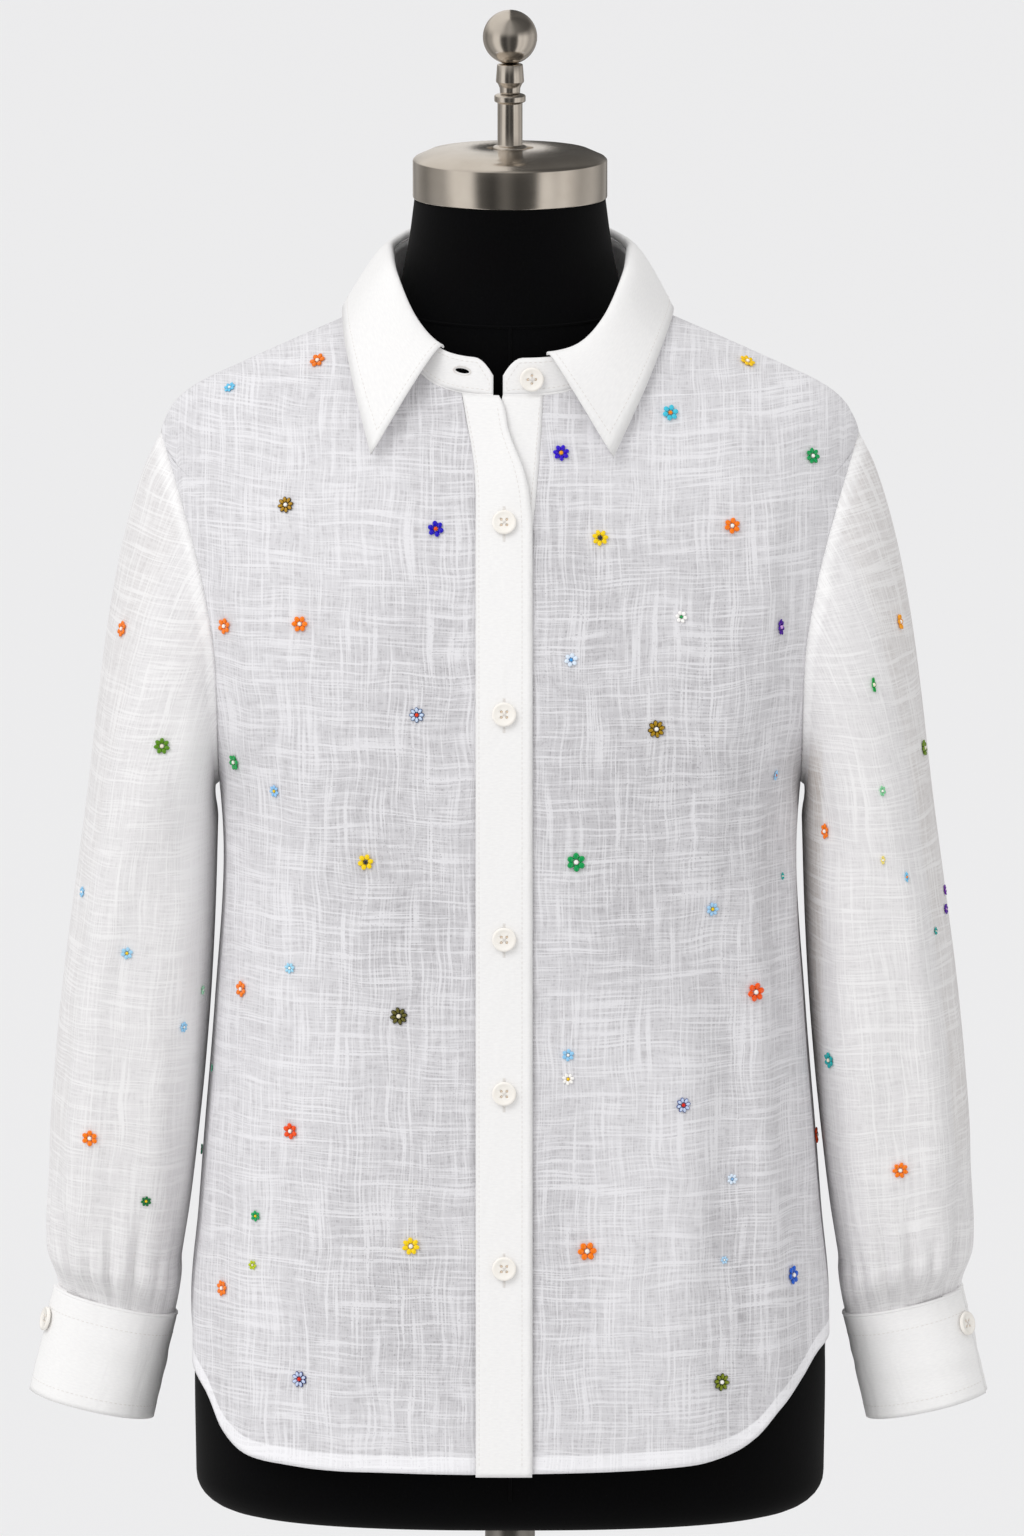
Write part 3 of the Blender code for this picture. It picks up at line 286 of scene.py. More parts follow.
def ease(share):
    """0 below 0, 1 above 1, and a smooth S between."""
    share = min(max(share, 0.0), 1.0)
    return share * share * (3 - 2 * share)


def running(points):
    """How far along a run of points each one lies."""
    sums = [0.0]
    for a, b in zip(points, points[1:]):
        sums.append(sums[-1] + (b - a).length)
    return sums


def level_point(table, turn, height, back):
    """A point of a level section: turn runs from 0 at the centre line to 1 at the side, on +X."""
    angle = turn * math.pi / 2
    power = 2 / read(table, "squareness", height)
    depth = read(table, "back_depth" if back else "front_depth", height)
    x = read(table, "half_width", height) * max(math.sin(angle), 0.0) ** power
    y = depth * max(math.cos(angle), 0.0) ** power
    return Vector((x, y if back else -y, height))


# Fine black cotton jersey: the knit takes the light softly, with a faint nap and small wales
jersey, tree, shader = material("black cotton jersey", 0.82)
place = add(tree, "TexCoord").outputs["Object"]
# A knit of 1.1 mm, drawn about twice as coarse as the real one so that it shows
knit = speckle(tree, place, detail=1.5, stretch=(900.0, 900.0, 450.0))
lint = add(tree, "TexNoise", values={"Scale": 40.0, "Detail": 3.0}, links={"Vector": place})
worn = mix(tree, 0.35, mix(tree, knit, "#030304", "#08080A"), lint.outputs["Color"], "MULTIPLY")
dress(
    tree,
    shader,
    {"Base Color": worn, "Normal": relief(tree, knit, 0.25, 0.0003)},
    {"Sheen Weight": 0.04, "Sheen Roughness": 0.5, "Specular IOR Level": 0.08},
)


def form_point(around, height, inset=0.0):
    """A point of the cover: around runs from 0 at the side on +X, by the back, once round."""
    quarter, part = int(around * 4) % 4, around * 4 - int(around * 4)
    point = level_point(FORM, 1 - part if quarter in (0, 2) else part, height, quarter in (0, 1))
    sign = 1 if quarter in (0, 3) else -1
    shrink = 1 - inset / FORM_EDGE_DEPTH
    return Vector((sign * point.x * shrink, point.y * shrink, height))


def stitch_up(bm, place):
    """Sets the points of a grid by place(across, up), both from 0 to 1, and gives it a map in metres."""
    layer = bm.loops.layers.uv.verify()
    where = {}
    for vert in bm.verts:
        across, up = vert.co.x + 0.5, vert.co.y + 0.5
        vert.co, where[vert] = place(across, up)
    for face in bm.faces:
        for loop in face.loops:
            loop[layer].uv = where[loop.vert]
    bmesh.ops.remove_doubles(bm, verts=bm.verts, dist=SAME_PLACE)


def form_cover(across, up):
    """The cover from the pole's socket, round the lower edge and up to the neck's top."""
    row = up * (FORM_ROWS + FORM_EDGE_FINE + 2)
    if row < 1.5:
        angle = 2 * math.pi * across
        radius = POLE_RADIUS + SLIDE_GAP
        height = FORM_BOTTOM + (SOCKET_DEPTH if row < 0.5 else 0.0)
        point = Vector((radius * math.cos(angle), radius * math.sin(angle), height))
    elif row < FORM_EDGE_FINE + 1.5:
        angle = math.pi / 2 * (round(row) - 2) / FORM_EDGE_FINE
        drop, inset = FORM_EDGE_RADIUS * math.cos(angle), FORM_EDGE_RADIUS * (1 - math.sin(angle))
        point = form_point(across, FORM[0].height, inset)
        point.z -= drop
    else:
        share = (round(row) - FORM_EDGE_FINE - 2) / FORM_ROWS
        height = FORM[0].height + (FORM[-1].height - FORM[0].height) * share
        point = form_point(across, height)
    return point, (across, point.z)


def placed(x, y, z, point):
    """The matrix that sets a thing's axes and its origin."""
    return Matrix(
        ((x.x, y.x, z.x, point.x), (x.y, y.y, z.y, point.y), (x.z, y.z, z.z, point.z), (0, 0, 0, 1))
    )


bm = bmesh.new()
bmesh.ops.create_grid(bm, x_segments=FORM_COLUMNS, y_segments=FORM_ROWS + FORM_EDGE_FINE + 2, size=0.5)
stitch_up(bm, form_cover)
rims = [edge for edge in bm.edges if edge.is_boundary]
bmesh.ops.holes_fill(bm, edges=rims, sides=0)
bmesh.ops.recalc_face_normals(bm, faces=bm.faces)
dress_form = piece("dress_form_cover", bm, jersey)
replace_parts(dress_form, "form_body")
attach(dress_form, "root")

# The cover's seams: round the base of the neck, and down the middle of the front and the back
SEAM_LOW = 1.4035
SEAM_SWAY = 0.0045
SEAM_BACK_RISE = 0.006
SEAM_STEPS_ROUND, SEAM_STEPS_DOWN = 120, 80


def cord_along(bm, points, radius, sides=6):
    """Runs a thin round cord through a list of points."""
    rings = []
    for number, point in enumerate(points):
        ahead = (points[min(number + 1, len(points) - 1)] - points[max(number - 1, 0)]).normalized()
        side = side - ahead * side.dot(ahead) if rings else ahead.orthogonal()
        side.normalize()
        frame_of = placed(side, ahead.cross(side), ahead, point)
        ring = bmesh.ops.create_circle(bm, cap_ends=False, segments=sides, radius=radius, matrix=frame_of)
        rings.append(ring["verts"])
    for before, after in zip(rings, rings[1:]):
        rims = [set(before), set(after)]
        near = {edge for vert in before + after for edge in vert.link_edges if len(edge.link_faces) < 2}
        bmesh.ops.bridge_loops(bm, edges=[e for e in near if any(rim.issuperset(e.verts) for rim in rims)])


bm = bmesh.new()
ring = []
for step in range(SEAM_STEPS_ROUND + 1):
    around = step / SEAM_STEPS_ROUND
    front = max(-math.sin(2 * math.pi * around), 0.0)
    behind = max(math.sin(2 * math.pi * around), 0.0)
    height = SEAM_LOW + SEAM_SWAY * (1 - front) + SEAM_BACK_RISE * behind
    ring.append(form_point(around % 1.0, height))
cord_along(bm, ring, FORM_SEAM)
for around, high in ((0.75, SEAM_LOW), (0.25, SEAM_LOW + SEAM_SWAY + SEAM_BACK_RISE)):
    low = FORM[0].height
    steps_down = range(SEAM_STEPS_DOWN + 1)
    run = [form_point(around, low + (high - low) * k / SEAM_STEPS_DOWN) for k in steps_down]
    cord_along(bm, run, FORM_SEAM)
seams = piece("form_seams", bm, jersey)
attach(seams, "root")

# --- The neck cap, its finial, the pole and the base ------------------------------------------------
# All are turned from steel. The cap covers the neck's cut top, with a shallow brushed cone; the
# finial's stem, catch and ball screw down through it onto the pole, which a heavy plate holds up.
# Turned profiles, as radius and height. The cap, stem and catch stand on CAP_BOTTOM
Turn = namedtuple("Turn", "radius height")
CAP_RADIUS = 0.0582
CAP_BOTTOM = 1.4722
CAP_FLOOR = 0.0255
CAP_PROFILE = [
    Turn(0.0, 0.0),
    Turn(CAP_RADIUS - 0.0008, 0.0),
    Turn(CAP_RADIUS, 0.0008),
    Turn(CAP_RADIUS, 0.0230),
    Turn(CAP_RADIUS - 0.0015, 0.0245),
    Turn(0.0480, 0.0284),
    Turn(0.0340, 0.0300),
    Turn(0.0145, 0.0306),
    Turn(0.0138, 0.0301),
    Turn(0.0138, CAP_FLOOR),
    Turn(0.0, CAP_FLOOR),
]
STEM_PROFILE = [
    Turn(0.0, 0.0258),
    Turn(0.0104, 0.0258),
    Turn(0.0104, 0.0306),
    Turn(0.0095, 0.0314),
    Turn(0.0075, 0.0318),
    Turn(0.0075, 0.0574),
    Turn(0.0094, 0.0582),
    Turn(0.0094, 0.0618),
    Turn(0.0080, 0.0626),
    Turn(0.0, 0.0626),
]
CATCH_PROFILE = [
    Turn(0.0, 0.0629),
    Turn(0.0060, 0.0629),
    Turn(0.0062, 0.0663),
    Turn(0.0074, 0.0690),
    Turn(0.0085, 0.0700),
    Turn(0.0077, 0.0806),
    Turn(0.0046, 0.0812),
    Turn(0.0, 0.0812),
]
BALL_LOW = 0.0815
BALL_RADIUS = 0.0163
BALL_FOOT = 0.005
BASE_RADIUS = 0.180
BASE_THICK = 0.008
HUB_RADIUS = 0.030
HUB_HEIGHT = 0.040
HUB_BEVEL = 0.006
PLATE_PROFILE = [
    Turn(0.0, 0.0),
    Turn(BASE_RADIUS - 0.001, 0.0),
    Turn(BASE_RADIUS, 0.001),
    Turn(BASE_RADIUS, BASE_THICK - 0.003),
    Turn(BASE_RADIUS - 0.003, BASE_THICK),
    Turn(0.0, BASE_THICK),
]
# Gaps between solid pieces that touch on the real thing
FIT_GAP = 0.0003
TURNING_BEVEL = 0.0005
BALL_FINE = 20


def brushed(name, light, dark, roughness):
    """Turned steel: fine rings round the axis break the reflections up, and it is a little warm."""
    new, tree, shader = material(name, roughness, 1.0)
    place = add(tree, "TexCoord").outputs["Object"]
    # Turning marks 0.4 mm apart
    marks = speckle(tree, place, stretch=(12.0, 12.0, 2500.0))
    uneven = {"To Min": roughness * 0.75, "To Max": roughness * 1.35}
    rough = add(tree, "MapRange", values=uneven, links={"Value": marks}).outputs["Result"]
    tone = mix(tree, speckle(tree, place, 60.0, 3.0), light, dark)
    dress(tree, shader, {"Base Color": tone, "Roughness": rough, "Normal": relief(tree, marks, 0.12, 0.0001)})
    return new


# Polished stainless steel gives clear bright and dark bands; the brushed base blurs them
polished_steel = brushed("polished stainless steel", "#E4DDD4", "#CFC6BB", 0.17)
brushed_steel = brushed("brushed stainless steel", "#C4C1BC", "#A9A6A2", 0.34)


def lathe(profile, steps, same, base=0.0, closed=False):
    """A surface turned about Z from a profile of radius and height."""
    bm = bmesh.new()
    points = [bm.verts.new((radius, 0, base + height)) for radius, height in profile]
    edges = [bm.edges.new(pair) for pair in zip(points, points[1:])]
    if closed:
        edges.append(bm.edges.new((points[-1], points[0])))
    about = {"cent": (0, 0, 0), "axis": (0, 0, 1), "angle": 2 * math.pi}
    bmesh.ops.spin(bm, geom=points + edges, steps=steps, use_merge=True, **about)
    bmesh.ops.remove_doubles(bm, verts=bm.verts, dist=same)
    bmesh.ops.recalc_face_normals(bm, faces=bm.faces)
    return bm


def turned(name, profile, segments, finish, base=0.0, closed=False):
    """A steel piece turned about Z, its edges eased."""
    bm = lathe(profile, segments, SAME_PLACE, base, closed)
    sharp = [edge for edge in bm.edges if edge.is_manifold and edge.calc_face_angle() > math.radians(25)]
    round_off = {"affect": "EDGES", "segments": 2, "profile": 0.5, "material": -1, "clamp_overlap": True}
    bmesh.ops.bevel(bm, geom=sharp, offset=TURNING_BEVEL, **round_off)
    obj = piece(name, bm, finish)
    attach(obj, "root")
    return obj


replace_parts(turned("cap_shell", CAP_PROFILE, 96, polished_steel, base=CAP_BOTTOM), "neck_cap")
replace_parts(turned("stem_turning", STEM_PROFILE, 48, polished_steel, base=CAP_BOTTOM), "finial_stem")
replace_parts(turned("catch_turning", CATCH_PROFILE, 48, polished_steel, base=CAP_BOTTOM), "finial_catch")
start = math.asin(BALL_FOOT / BALL_RADIUS)
ball = [Turn(0.0, 0.0)]
for step in range(BALL_FINE):
    angle = start + (math.pi - start) * step / BALL_FINE
    ball.append(Turn(BALL_RADIUS * math.sin(angle), BALL_RADIUS * (math.cos(start) - math.cos(angle))))
ball.append(Turn(0.0, BALL_RADIUS * (math.cos(start) + 1)))
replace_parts(turned("ball_turning", ball, 48, polished_steel, base=CAP_BOTTOM + BALL_LOW), "finial_ball")
foot = BASE_THICK + FIT_GAP
top = FORM_BOTTOM + SOCKET_DEPTH - FIT_GAP
rod = [Turn(0, foot), Turn(POLE_RADIUS, foot), Turn(POLE_RADIUS, top), Turn(0, top)]
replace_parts(turned("pole_tube", rod, 64, brushed_steel), "pole")
bore = POLE_RADIUS + SLIDE_GAP
hub = [
    Turn(bore, 0),
    Turn(HUB_RADIUS, 0),
    Turn(HUB_RADIUS, HUB_HEIGHT - HUB_BEVEL),
    Turn(HUB_RADIUS - HUB_BEVEL, HUB_HEIGHT),
    Turn(bore, HUB_HEIGHT),
]
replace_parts(turned("hub_turning", hub, 64, brushed_steel, base=foot, closed=True), "base_hub")
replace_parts(turned("plate_turning", PLATE_PROFILE, 128, brushed_steel), "base_plate")

# --- The fronts and the back ------------------------------------------------------------------------
# Sheer white cotton gauze with slubs in both directions, so thin that the black form greys it where
# they lie close. Each panel is cut flat, sewn at the sides and shoulders, and hemmed all round.
HEM_FRONT = 0.721
HEM_BACK = 0.716
HEM_SIDE = 0.808
UNDERARM = 1.120
SHOULDER_POINT = 1.331
NECK_FRONT = 1.3650
NECK_SIDE = 1.408
NECK_BACK = 1.420
NECK_HALF_WIDTH = 0.0735
# The shirt's level sections, at the middle of its cloth
SHIRT = [
    Section(0.700, 0.1930, 0.1340, 0.1290, 2.4),
    Section(0.810, 0.1915, 0.1330, 0.1280, 2.4),
    Section(0.860, 0.1870, 0.1320, 0.1250, 2.4),
    Section(0.900, 0.1840, 0.1310, 0.1220, 2.4),
    Section(0.986, 0.1770, 0.1290, 0.1160, 2.4),
    Section(1.077, 0.1715, 0.1280, 0.1130, 2.4),
    Section(1.120, 0.1740, 0.1270, 0.1130, 2.4),
    Section(1.165, 0.1880, 0.1250, 0.1140, 2.3),
    Section(1.200, 0.1980, 0.1210, 0.1140, 2.2),
    Section(1.245, 0.2060, 0.1130, 0.1110, 2.1),
    Section(1.295, 0.2110, 0.1020, 0.1020, 1.9),
    Section(1.331, 0.2085, 0.0920, 0.0920, 1.75),
    Section(1.345, 0.2030, 0.0880, 0.0880, 1.7),
    Section(1.353, 0.1965, 0.0860, 0.0860, 1.65),
    Section(1.361, 0.1850, 0.0835, 0.0840, 1.65),
    Section(1.372, 0.1620, 0.0800, 0.0810, 1.65),
    Section(1.383, 0.1375, 0.0775, 0.0785, 1.7),
    Section(1.394, 0.1120, 0.0755, 0.0765, 1.8),
    Section(1.402, 0.0920, 0.0745, 0.0750, 1.9),
    Section(1.408, 0.0735, 0.0730, 0.0735, 2.0),
    Section(1.425, 0.0700, 0.0700, 0.0710, 2.0),
]
# The hem's height round the body: turn is 0 at the centre line and 1 at the side seam
Edge = namedtuple("Edge", "turn height")
HEM_RIGHT = [
    Edge(0.0, HEM_FRONT),
    Edge(0.36, HEM_FRONT),
    Edge(0.48, HEM_FRONT + 0.0018),
    Edge(0.53, HEM_FRONT + 0.0036),
    Edge(0.61, HEM_FRONT + 0.0094),
    Edge(0.68, HEM_FRONT + 0.0176),
    Edge(0.75, HEM_FRONT + 0.0385),
    Edge(0.84, HEM_FRONT + 0.0570),
    Edge(1.0, HEM_SIDE),
]
HEM_LEFT = [
    Edge(0.0, HEM_FRONT),
    Edge(0.20, HEM_FRONT + 0.001),
    Edge(0.33, HEM_FRONT + 0.003),
    Edge(0.40, HEM_FRONT + 0.0056),
    Edge(0.46, HEM_FRONT + 0.0096),
    Edge(0.51, HEM_FRONT + 0.0165),
    Edge(0.58, HEM_FRONT + 0.0320),
    Edge(0.71, HEM_FRONT + 0.0490),
    Edge(0.78, HEM_FRONT + 0.0630),
    Edge(1.0, HEM_SIDE),
]
HEM_REAR = [
    Edge(0.0, HEM_BACK),
    Edge(0.40, HEM_BACK + 0.003),
    Edge(0.66, HEM_BACK + 0.018),
    Edge(0.82, HEM_BACK + 0.044),
    Edge(1.0, HEM_SIDE),
]
# The armhole seam, read from the front: half_width is its distance from the centre line
Armhole = namedtuple("Armhole", "height front_width back_width")
ARMHOLE = [
    Armhole(UNDERARM, 0.1740, 0.1740),
    Armhole(1.140, 0.1745, 0.1775),
    Armhole(1.165, 0.1748, 0.1810),
    Armhole(1.200, 0.1760, 0.1850),
    Armhole(1.245, 0.1830, 0.1900),
    Armhole(1.295, 0.1965, 0.2000),
    Armhole(SHOULDER_POINT, 0.2085, 0.2085),
]
# Where the bands' edges run, seen from the front. The open neck spreads them near the top
Band = namedtuple("Band", "height right_inner right_edge left_edge left_inner")
BAND_OPENS = 1.285
BAND_ROLL = 0.0035
BAND_PUCKER = 0.0006
BANDS = [
    Band(0.700, -0.0205, 0.0132, -0.0205, 0.0135),
    Band(BAND_OPENS, -0.0205, 0.0132, -0.0205, 0.0135),
    Band(1.306, -0.0204, 0.0118, -0.0185, 0.0155),
    Band(1.3225, -0.0212, 0.0082, -0.0150, 0.0170),
    Band(1.3355, -0.0230, 0.0028, -0.0115, 0.0180),
    Band(1.3465, -0.0252, -0.0012, -0.0085, 0.0188),
    Band(1.3585, -0.0274, -0.0032, -0.0060, 0.0194),
    Band(1.3650, -0.0286, -0.0066, -0.0042, 0.0198),
]
# Rows of the body panels: how far up each one is at the centre line and at its outer end
Row = namedtuple("Row", "share centre outer")
ROWS = [
    Row(0.00, HEM_FRONT, HEM_SIDE),
    Row(0.46, 1.075, UNDERARM),
    Row(0.80, 1.275, SHOULDER_POINT),
    Row(1.00, NECK_FRONT, NECK_SIDE),
]
# The largest soft folds: side -1 is the wearer's right, 0 the back; depth is how far one stands out
Fold = namedtuple("Fold", "side turn width low high depth")
FOLDS = [
    Fold(-1, 0.30, 0.075, 0.70, 1.10, 0.0030),
    Fold(-1, 0.56, 0.085, 0.70, 1.16, 0.0050),
    Fold(-1, 0.80, 0.070, 0.72, 1.20, 0.0055),
    Fold(-1, 0.46, 0.080, 1.10, 1.34, 0.0025),
    Fold(1, 0.34, 0.075, 0.70, 1.08, 0.0035),
    Fold(1, 0.58, 0.080, 0.70, 1.20, 0.0055),
    Fold(1, 0.82, 0.070, 0.72, 1.22, 0.0060),
    Fold(1, 0.44, 0.075, 1.12, 1.36, 0.0035),
    Fold(0, -0.72, 0.100, 0.70, 1.24, 0.0060),
    Fold(0, -0.38, 0.100, 0.70, 1.18, 0.0050),
    Fold(0, 0.02, 0.110, 0.70, 1.26, 0.0045),
    Fold(0, 0.42, 0.100, 0.70, 1.16, 0.0055),
    Fold(0, 0.76, 0.100, 0.70, 1.24, 0.0060),
]
# How far the buttonhole side lies in front of the button side
OVERLAP_LIFT = 0.0023
OVERLAP_REACH = 0.25
HEM_REACH = 0.30
NECK_REACH = 0.80
GAUZE_THICK = 0.0007
# Rows up to this share of a panel's height are the turned hem, where two layers lie over the form
HEM_SHARE = 0.0138
HEM_LAYERS_FRONT, HEM_LAYERS_BACK = 0.75, 0.85
SIDE_SEAM_LAYERS = 0.35
SEAM_LAP = 0.0003
PANEL_COLUMNS = 64
PANEL_ROWS = 190
HEM_SHARES = [0.0, 0.0045, 0.009, 0.0130, 0.0146]


def straight(table, column, at):
    """A column of a table at a place between its rows, on straight runs."""
    for low, high in zip(table, table[1:]):
        if at <= high[0]:
            share = (at - low[0]) / (high[0] - low[0])
            return getattr(low, column) * (1 - share) + getattr(high, column) * share
    return getattr(table[-1], column)


def turn_at(x, height):
    """The turn at which the shirt's section is this far from the centre line."""
    share = min(abs(x) / read(SHIRT, "half_width", height), 1.0)
    return math.asin(share ** (read(SHIRT, "squareness", height) / 2)) / (math.pi / 2)


def neck_seam(angle, back):
    """The neck seam on +X by the angle from the centre line to the side: its height and its turn."""
    share = math.sin(math.radians(angle))
    if back:
        height = NECK_BACK + (NECK_SIDE - NECK_BACK) * share**2
    else:
        height = NECK_FRONT + (NECK_SIDE - NECK_FRONT) * share**4
    return height, turn_at(NECK_HALF_WIDTH * share, height)


def neck_angle(x):
    """The angle from the centre line at which the neck seam is this far out."""
    return math.degrees(math.asin(abs(x) / NECK_HALF_WIDTH))


def fold_lift(side, turn, height):
    """How far the soft folds stand out at a place on the body."""
    total = 0.0
    for fold in FOLDS:
        if fold.side != side:
            continue
        across = math.exp(-(((turn - fold.turn) / fold.width) ** 2))
        fade = (fold.high - fold.low) / 3
        along = ease((height - fold.low + fade) / fade) * ease((fold.high - height) / fade)
        total += fold.depth * across * along
    return total


def outer_turn(share, back):
    """The turn at a row's outer end: the side seam, then the armhole, then the shoulder seam."""
    height = straight(ROWS, "outer", share)
    if height <= UNDERARM or height >= SHOULDER_POINT:
        return 1.0
    return turn_at(read(ARMHOLE, "back_width" if back else "front_width", height), height)


def panel_point(share, across, edge, hem, back):
    """The turn and height of a panel's point: share runs up from the hem, across runs out to the side.

    The edge gives the distance from the centre line at which the panel starts, by height."""
    centre = straight(ROWS, "centre", share)
    hem_centre = HEM_BACK if back else HEM_FRONT
    if back:
        centre += (HEM_BACK - HEM_FRONT) * ease(1 - share)
        centre += (NECK_BACK - NECK_FRONT) * ease(share * 3 - 2)
    near_neck = ease((share - NECK_REACH) / (1 - NECK_REACH))
    top = NECK_BACK if back else NECK_FRONT
    first = neck_angle(edge(top))
    seam_first = neck_seam(first, back)[1]
    seam_height, seam_turn = neck_seam(first + (90 - first) * across, back)
    start = turn_at(edge(centre), centre)
    way = across + ((seam_turn - seam_first) / (1 - seam_first) - across) * near_neck
    turn = start + (outer_turn(share, back) - start) * way
    rise = across**1.6
    height = centre + (straight(ROWS, "outer", share) - centre) * rise
    height += (seam_height - top - (NECK_SIDE - top) * rise) * near_neck
    plain_hem = hem_centre + (HEM_SIDE - hem_centre) * rise
    height += (read(hem, "height", turn) - plain_hem) * ease(1 - share / HEM_REACH)
    if across == 0:
        turn = turn_at(edge(height), height)
    return turn, height


# Small creases that lie on the large folds: where each one starts and ends, as the distance round
# from the centre line and the height, then how wide it is and how far it stands out, in metres
Crease = namedtuple("Crease", "across height to_across to_height width depth")
CREASES = {
    -1: [
        Crease(0.060, 0.735, 0.075, 0.960, 0.012, 0.0016),
        Crease(0.105, 0.745, 0.128, 1.010, 0.014, 0.0022),
        Crease(0.150, 0.775, 0.158, 1.060, 0.013, -0.0018),
        Crease(0.187, 0.800, 0.170, 1.120, 0.012, 0.0020),
        Crease(0.215, 0.830, 0.198, 1.110, 0.011, -0.0014),
        Crease(0.190, 1.120, 0.135, 1.235, 0.012, 0.0016),
        Crease(0.175, 1.180, 0.150, 1.290, 0.014, 0.0018),
        Crease(0.085, 1.130, 0.090, 1.330, 0.020, 0.0010),
        Crease(0.030, 0.860, 0.040, 1.090, 0.016, 0.0008),
        Crease(0.130, 1.060, 0.110, 1.160, 0.016, 0.0010),
    ],
    1: [
        Crease(0.055, 0.735, 0.085, 0.930, 0.013, 0.0020),
        Crease(0.090, 0.745, 0.055, 1.000, 0.012, 0.0018),
        Crease(0.120, 0.760, 0.140, 1.000, 0.014, -0.0020),
        Crease(0.160, 0.790, 0.150, 1.080, 0.013, 0.0024),
        Crease(0.195, 0.820, 0.185, 1.120, 0.012, 0.0018),
        Crease(0.215, 0.840, 0.205, 1.100, 0.010, -0.0014),
        Crease(0.185, 1.120, 0.105, 1.230, 0.013, 0.0020),
        Crease(0.150, 1.160, 0.170, 1.330, 0.011, 0.0030),
        Crease(0.130, 1.190, 0.120, 1.345, 0.016, -0.0014),
        Crease(0.070, 1.180, 0.045, 1.330, 0.016, 0.0014),
        Crease(0.030, 0.900, 0.050, 1.080, 0.015, 0.0009),
    ],
    0: [
        Crease(-0.190, 0.790, -0.165, 1.090, 0.013, 0.0022),
        Crease(-0.140, 0.755, -0.115, 1.010, 0.015, -0.0020),
        Crease(-0.085, 0.740, -0.070, 1.060, 0.014, 0.0018),
        Crease(-0.020, 0.735, -0.035, 0.980, 0.013, 0.0020),
        Crease(0.045, 0.735, 0.060, 1.080, 0.014, -0.0018),
        Crease(0.100, 0.745, 0.085, 0.990, 0.013, 0.0022),
        Crease(0.150, 0.770, 0.160, 1.060, 0.014, 0.0018),
        Crease(0.205, 0.810, 0.180, 1.110, 0.012, 0.0020),
        Crease(-0.170, 1.110, -0.110, 1.230, 0.015, 0.0018),
        Crease(0.175, 1.110, 0.100, 1.220, 0.014, 0.0020),
        Crease(0.010, 1.150, 0.000, 1.370, 0.020, 0.0012),
    ],
}


def crease_lift(creases, across, height):
    """How far the small creases stand out at a place, each fading towards its ends."""
    total = 0.0
    for c in creases:
        along_x, along_z = c.to_across - c.across, c.to_height - c.height
        length = math.hypot(along_x, along_z)
        share = ((across - c.across) * along_x + (height - c.height) * along_z) / length**2
        if not -0.1 < share < 1.1:
            continue
        away = ((across - c.across) * along_z - (height - c.height) * along_x) / length
        bend = 0.004 * math.sin(share * 7.0 + c.width * 900)
        fade = ease(share * 3 + 0.3) * ease((1.1 - share) * 2.2)
        total += c.depth * fade * math.exp(-(((away + bend) / c.width) ** 2))
    return total


GIRTHS = {}
GIRTH_STEPS = 40
GIRTH_LEVEL = 0.005
GIRTH_TOP = 1.245
CHEST = 1.2


def girth(x, height, back):
    """How far round the body a point lies from the centre line."""
    level = min(height, GIRTH_TOP)
    reach = turn_at(x, level) * GIRTH_STEPS
    first = math.floor(level / GIRTH_LEVEL)
    found = []
    for step in (first, first + 1):
        if (step, back) not in GIRTHS:
            round_it = [
                level_point(SHIRT, k / GIRTH_STEPS, step * GIRTH_LEVEL, back)
                for k in range(GIRTH_STEPS + 1)
            ]
            GIRTHS[step, back] = running(round_it)
        sums = GIRTHS[step, back]
        k = min(int(reach), GIRTH_STEPS - 1)
        found.append(sums[k] + (sums[k + 1] - sums[k]) * (reach - k))
    share = level / GIRTH_LEVEL - first
    return found[0] * (1 - share) + found[1] * share


def grain(x, height, back):
    """The weave's coordinates at a place: round the body, and up it over the chest and shoulder."""
    up = height
    if height > CHEST:
        low = level_point(SHIRT, turn_at(x, CHEST), CHEST, back)
        here = level_point(SHIRT, turn_at(x, height), height, back)
        up = CHEST + math.hypot(height - CHEST, here.y - low.y)
    return girth(x, height, back), up


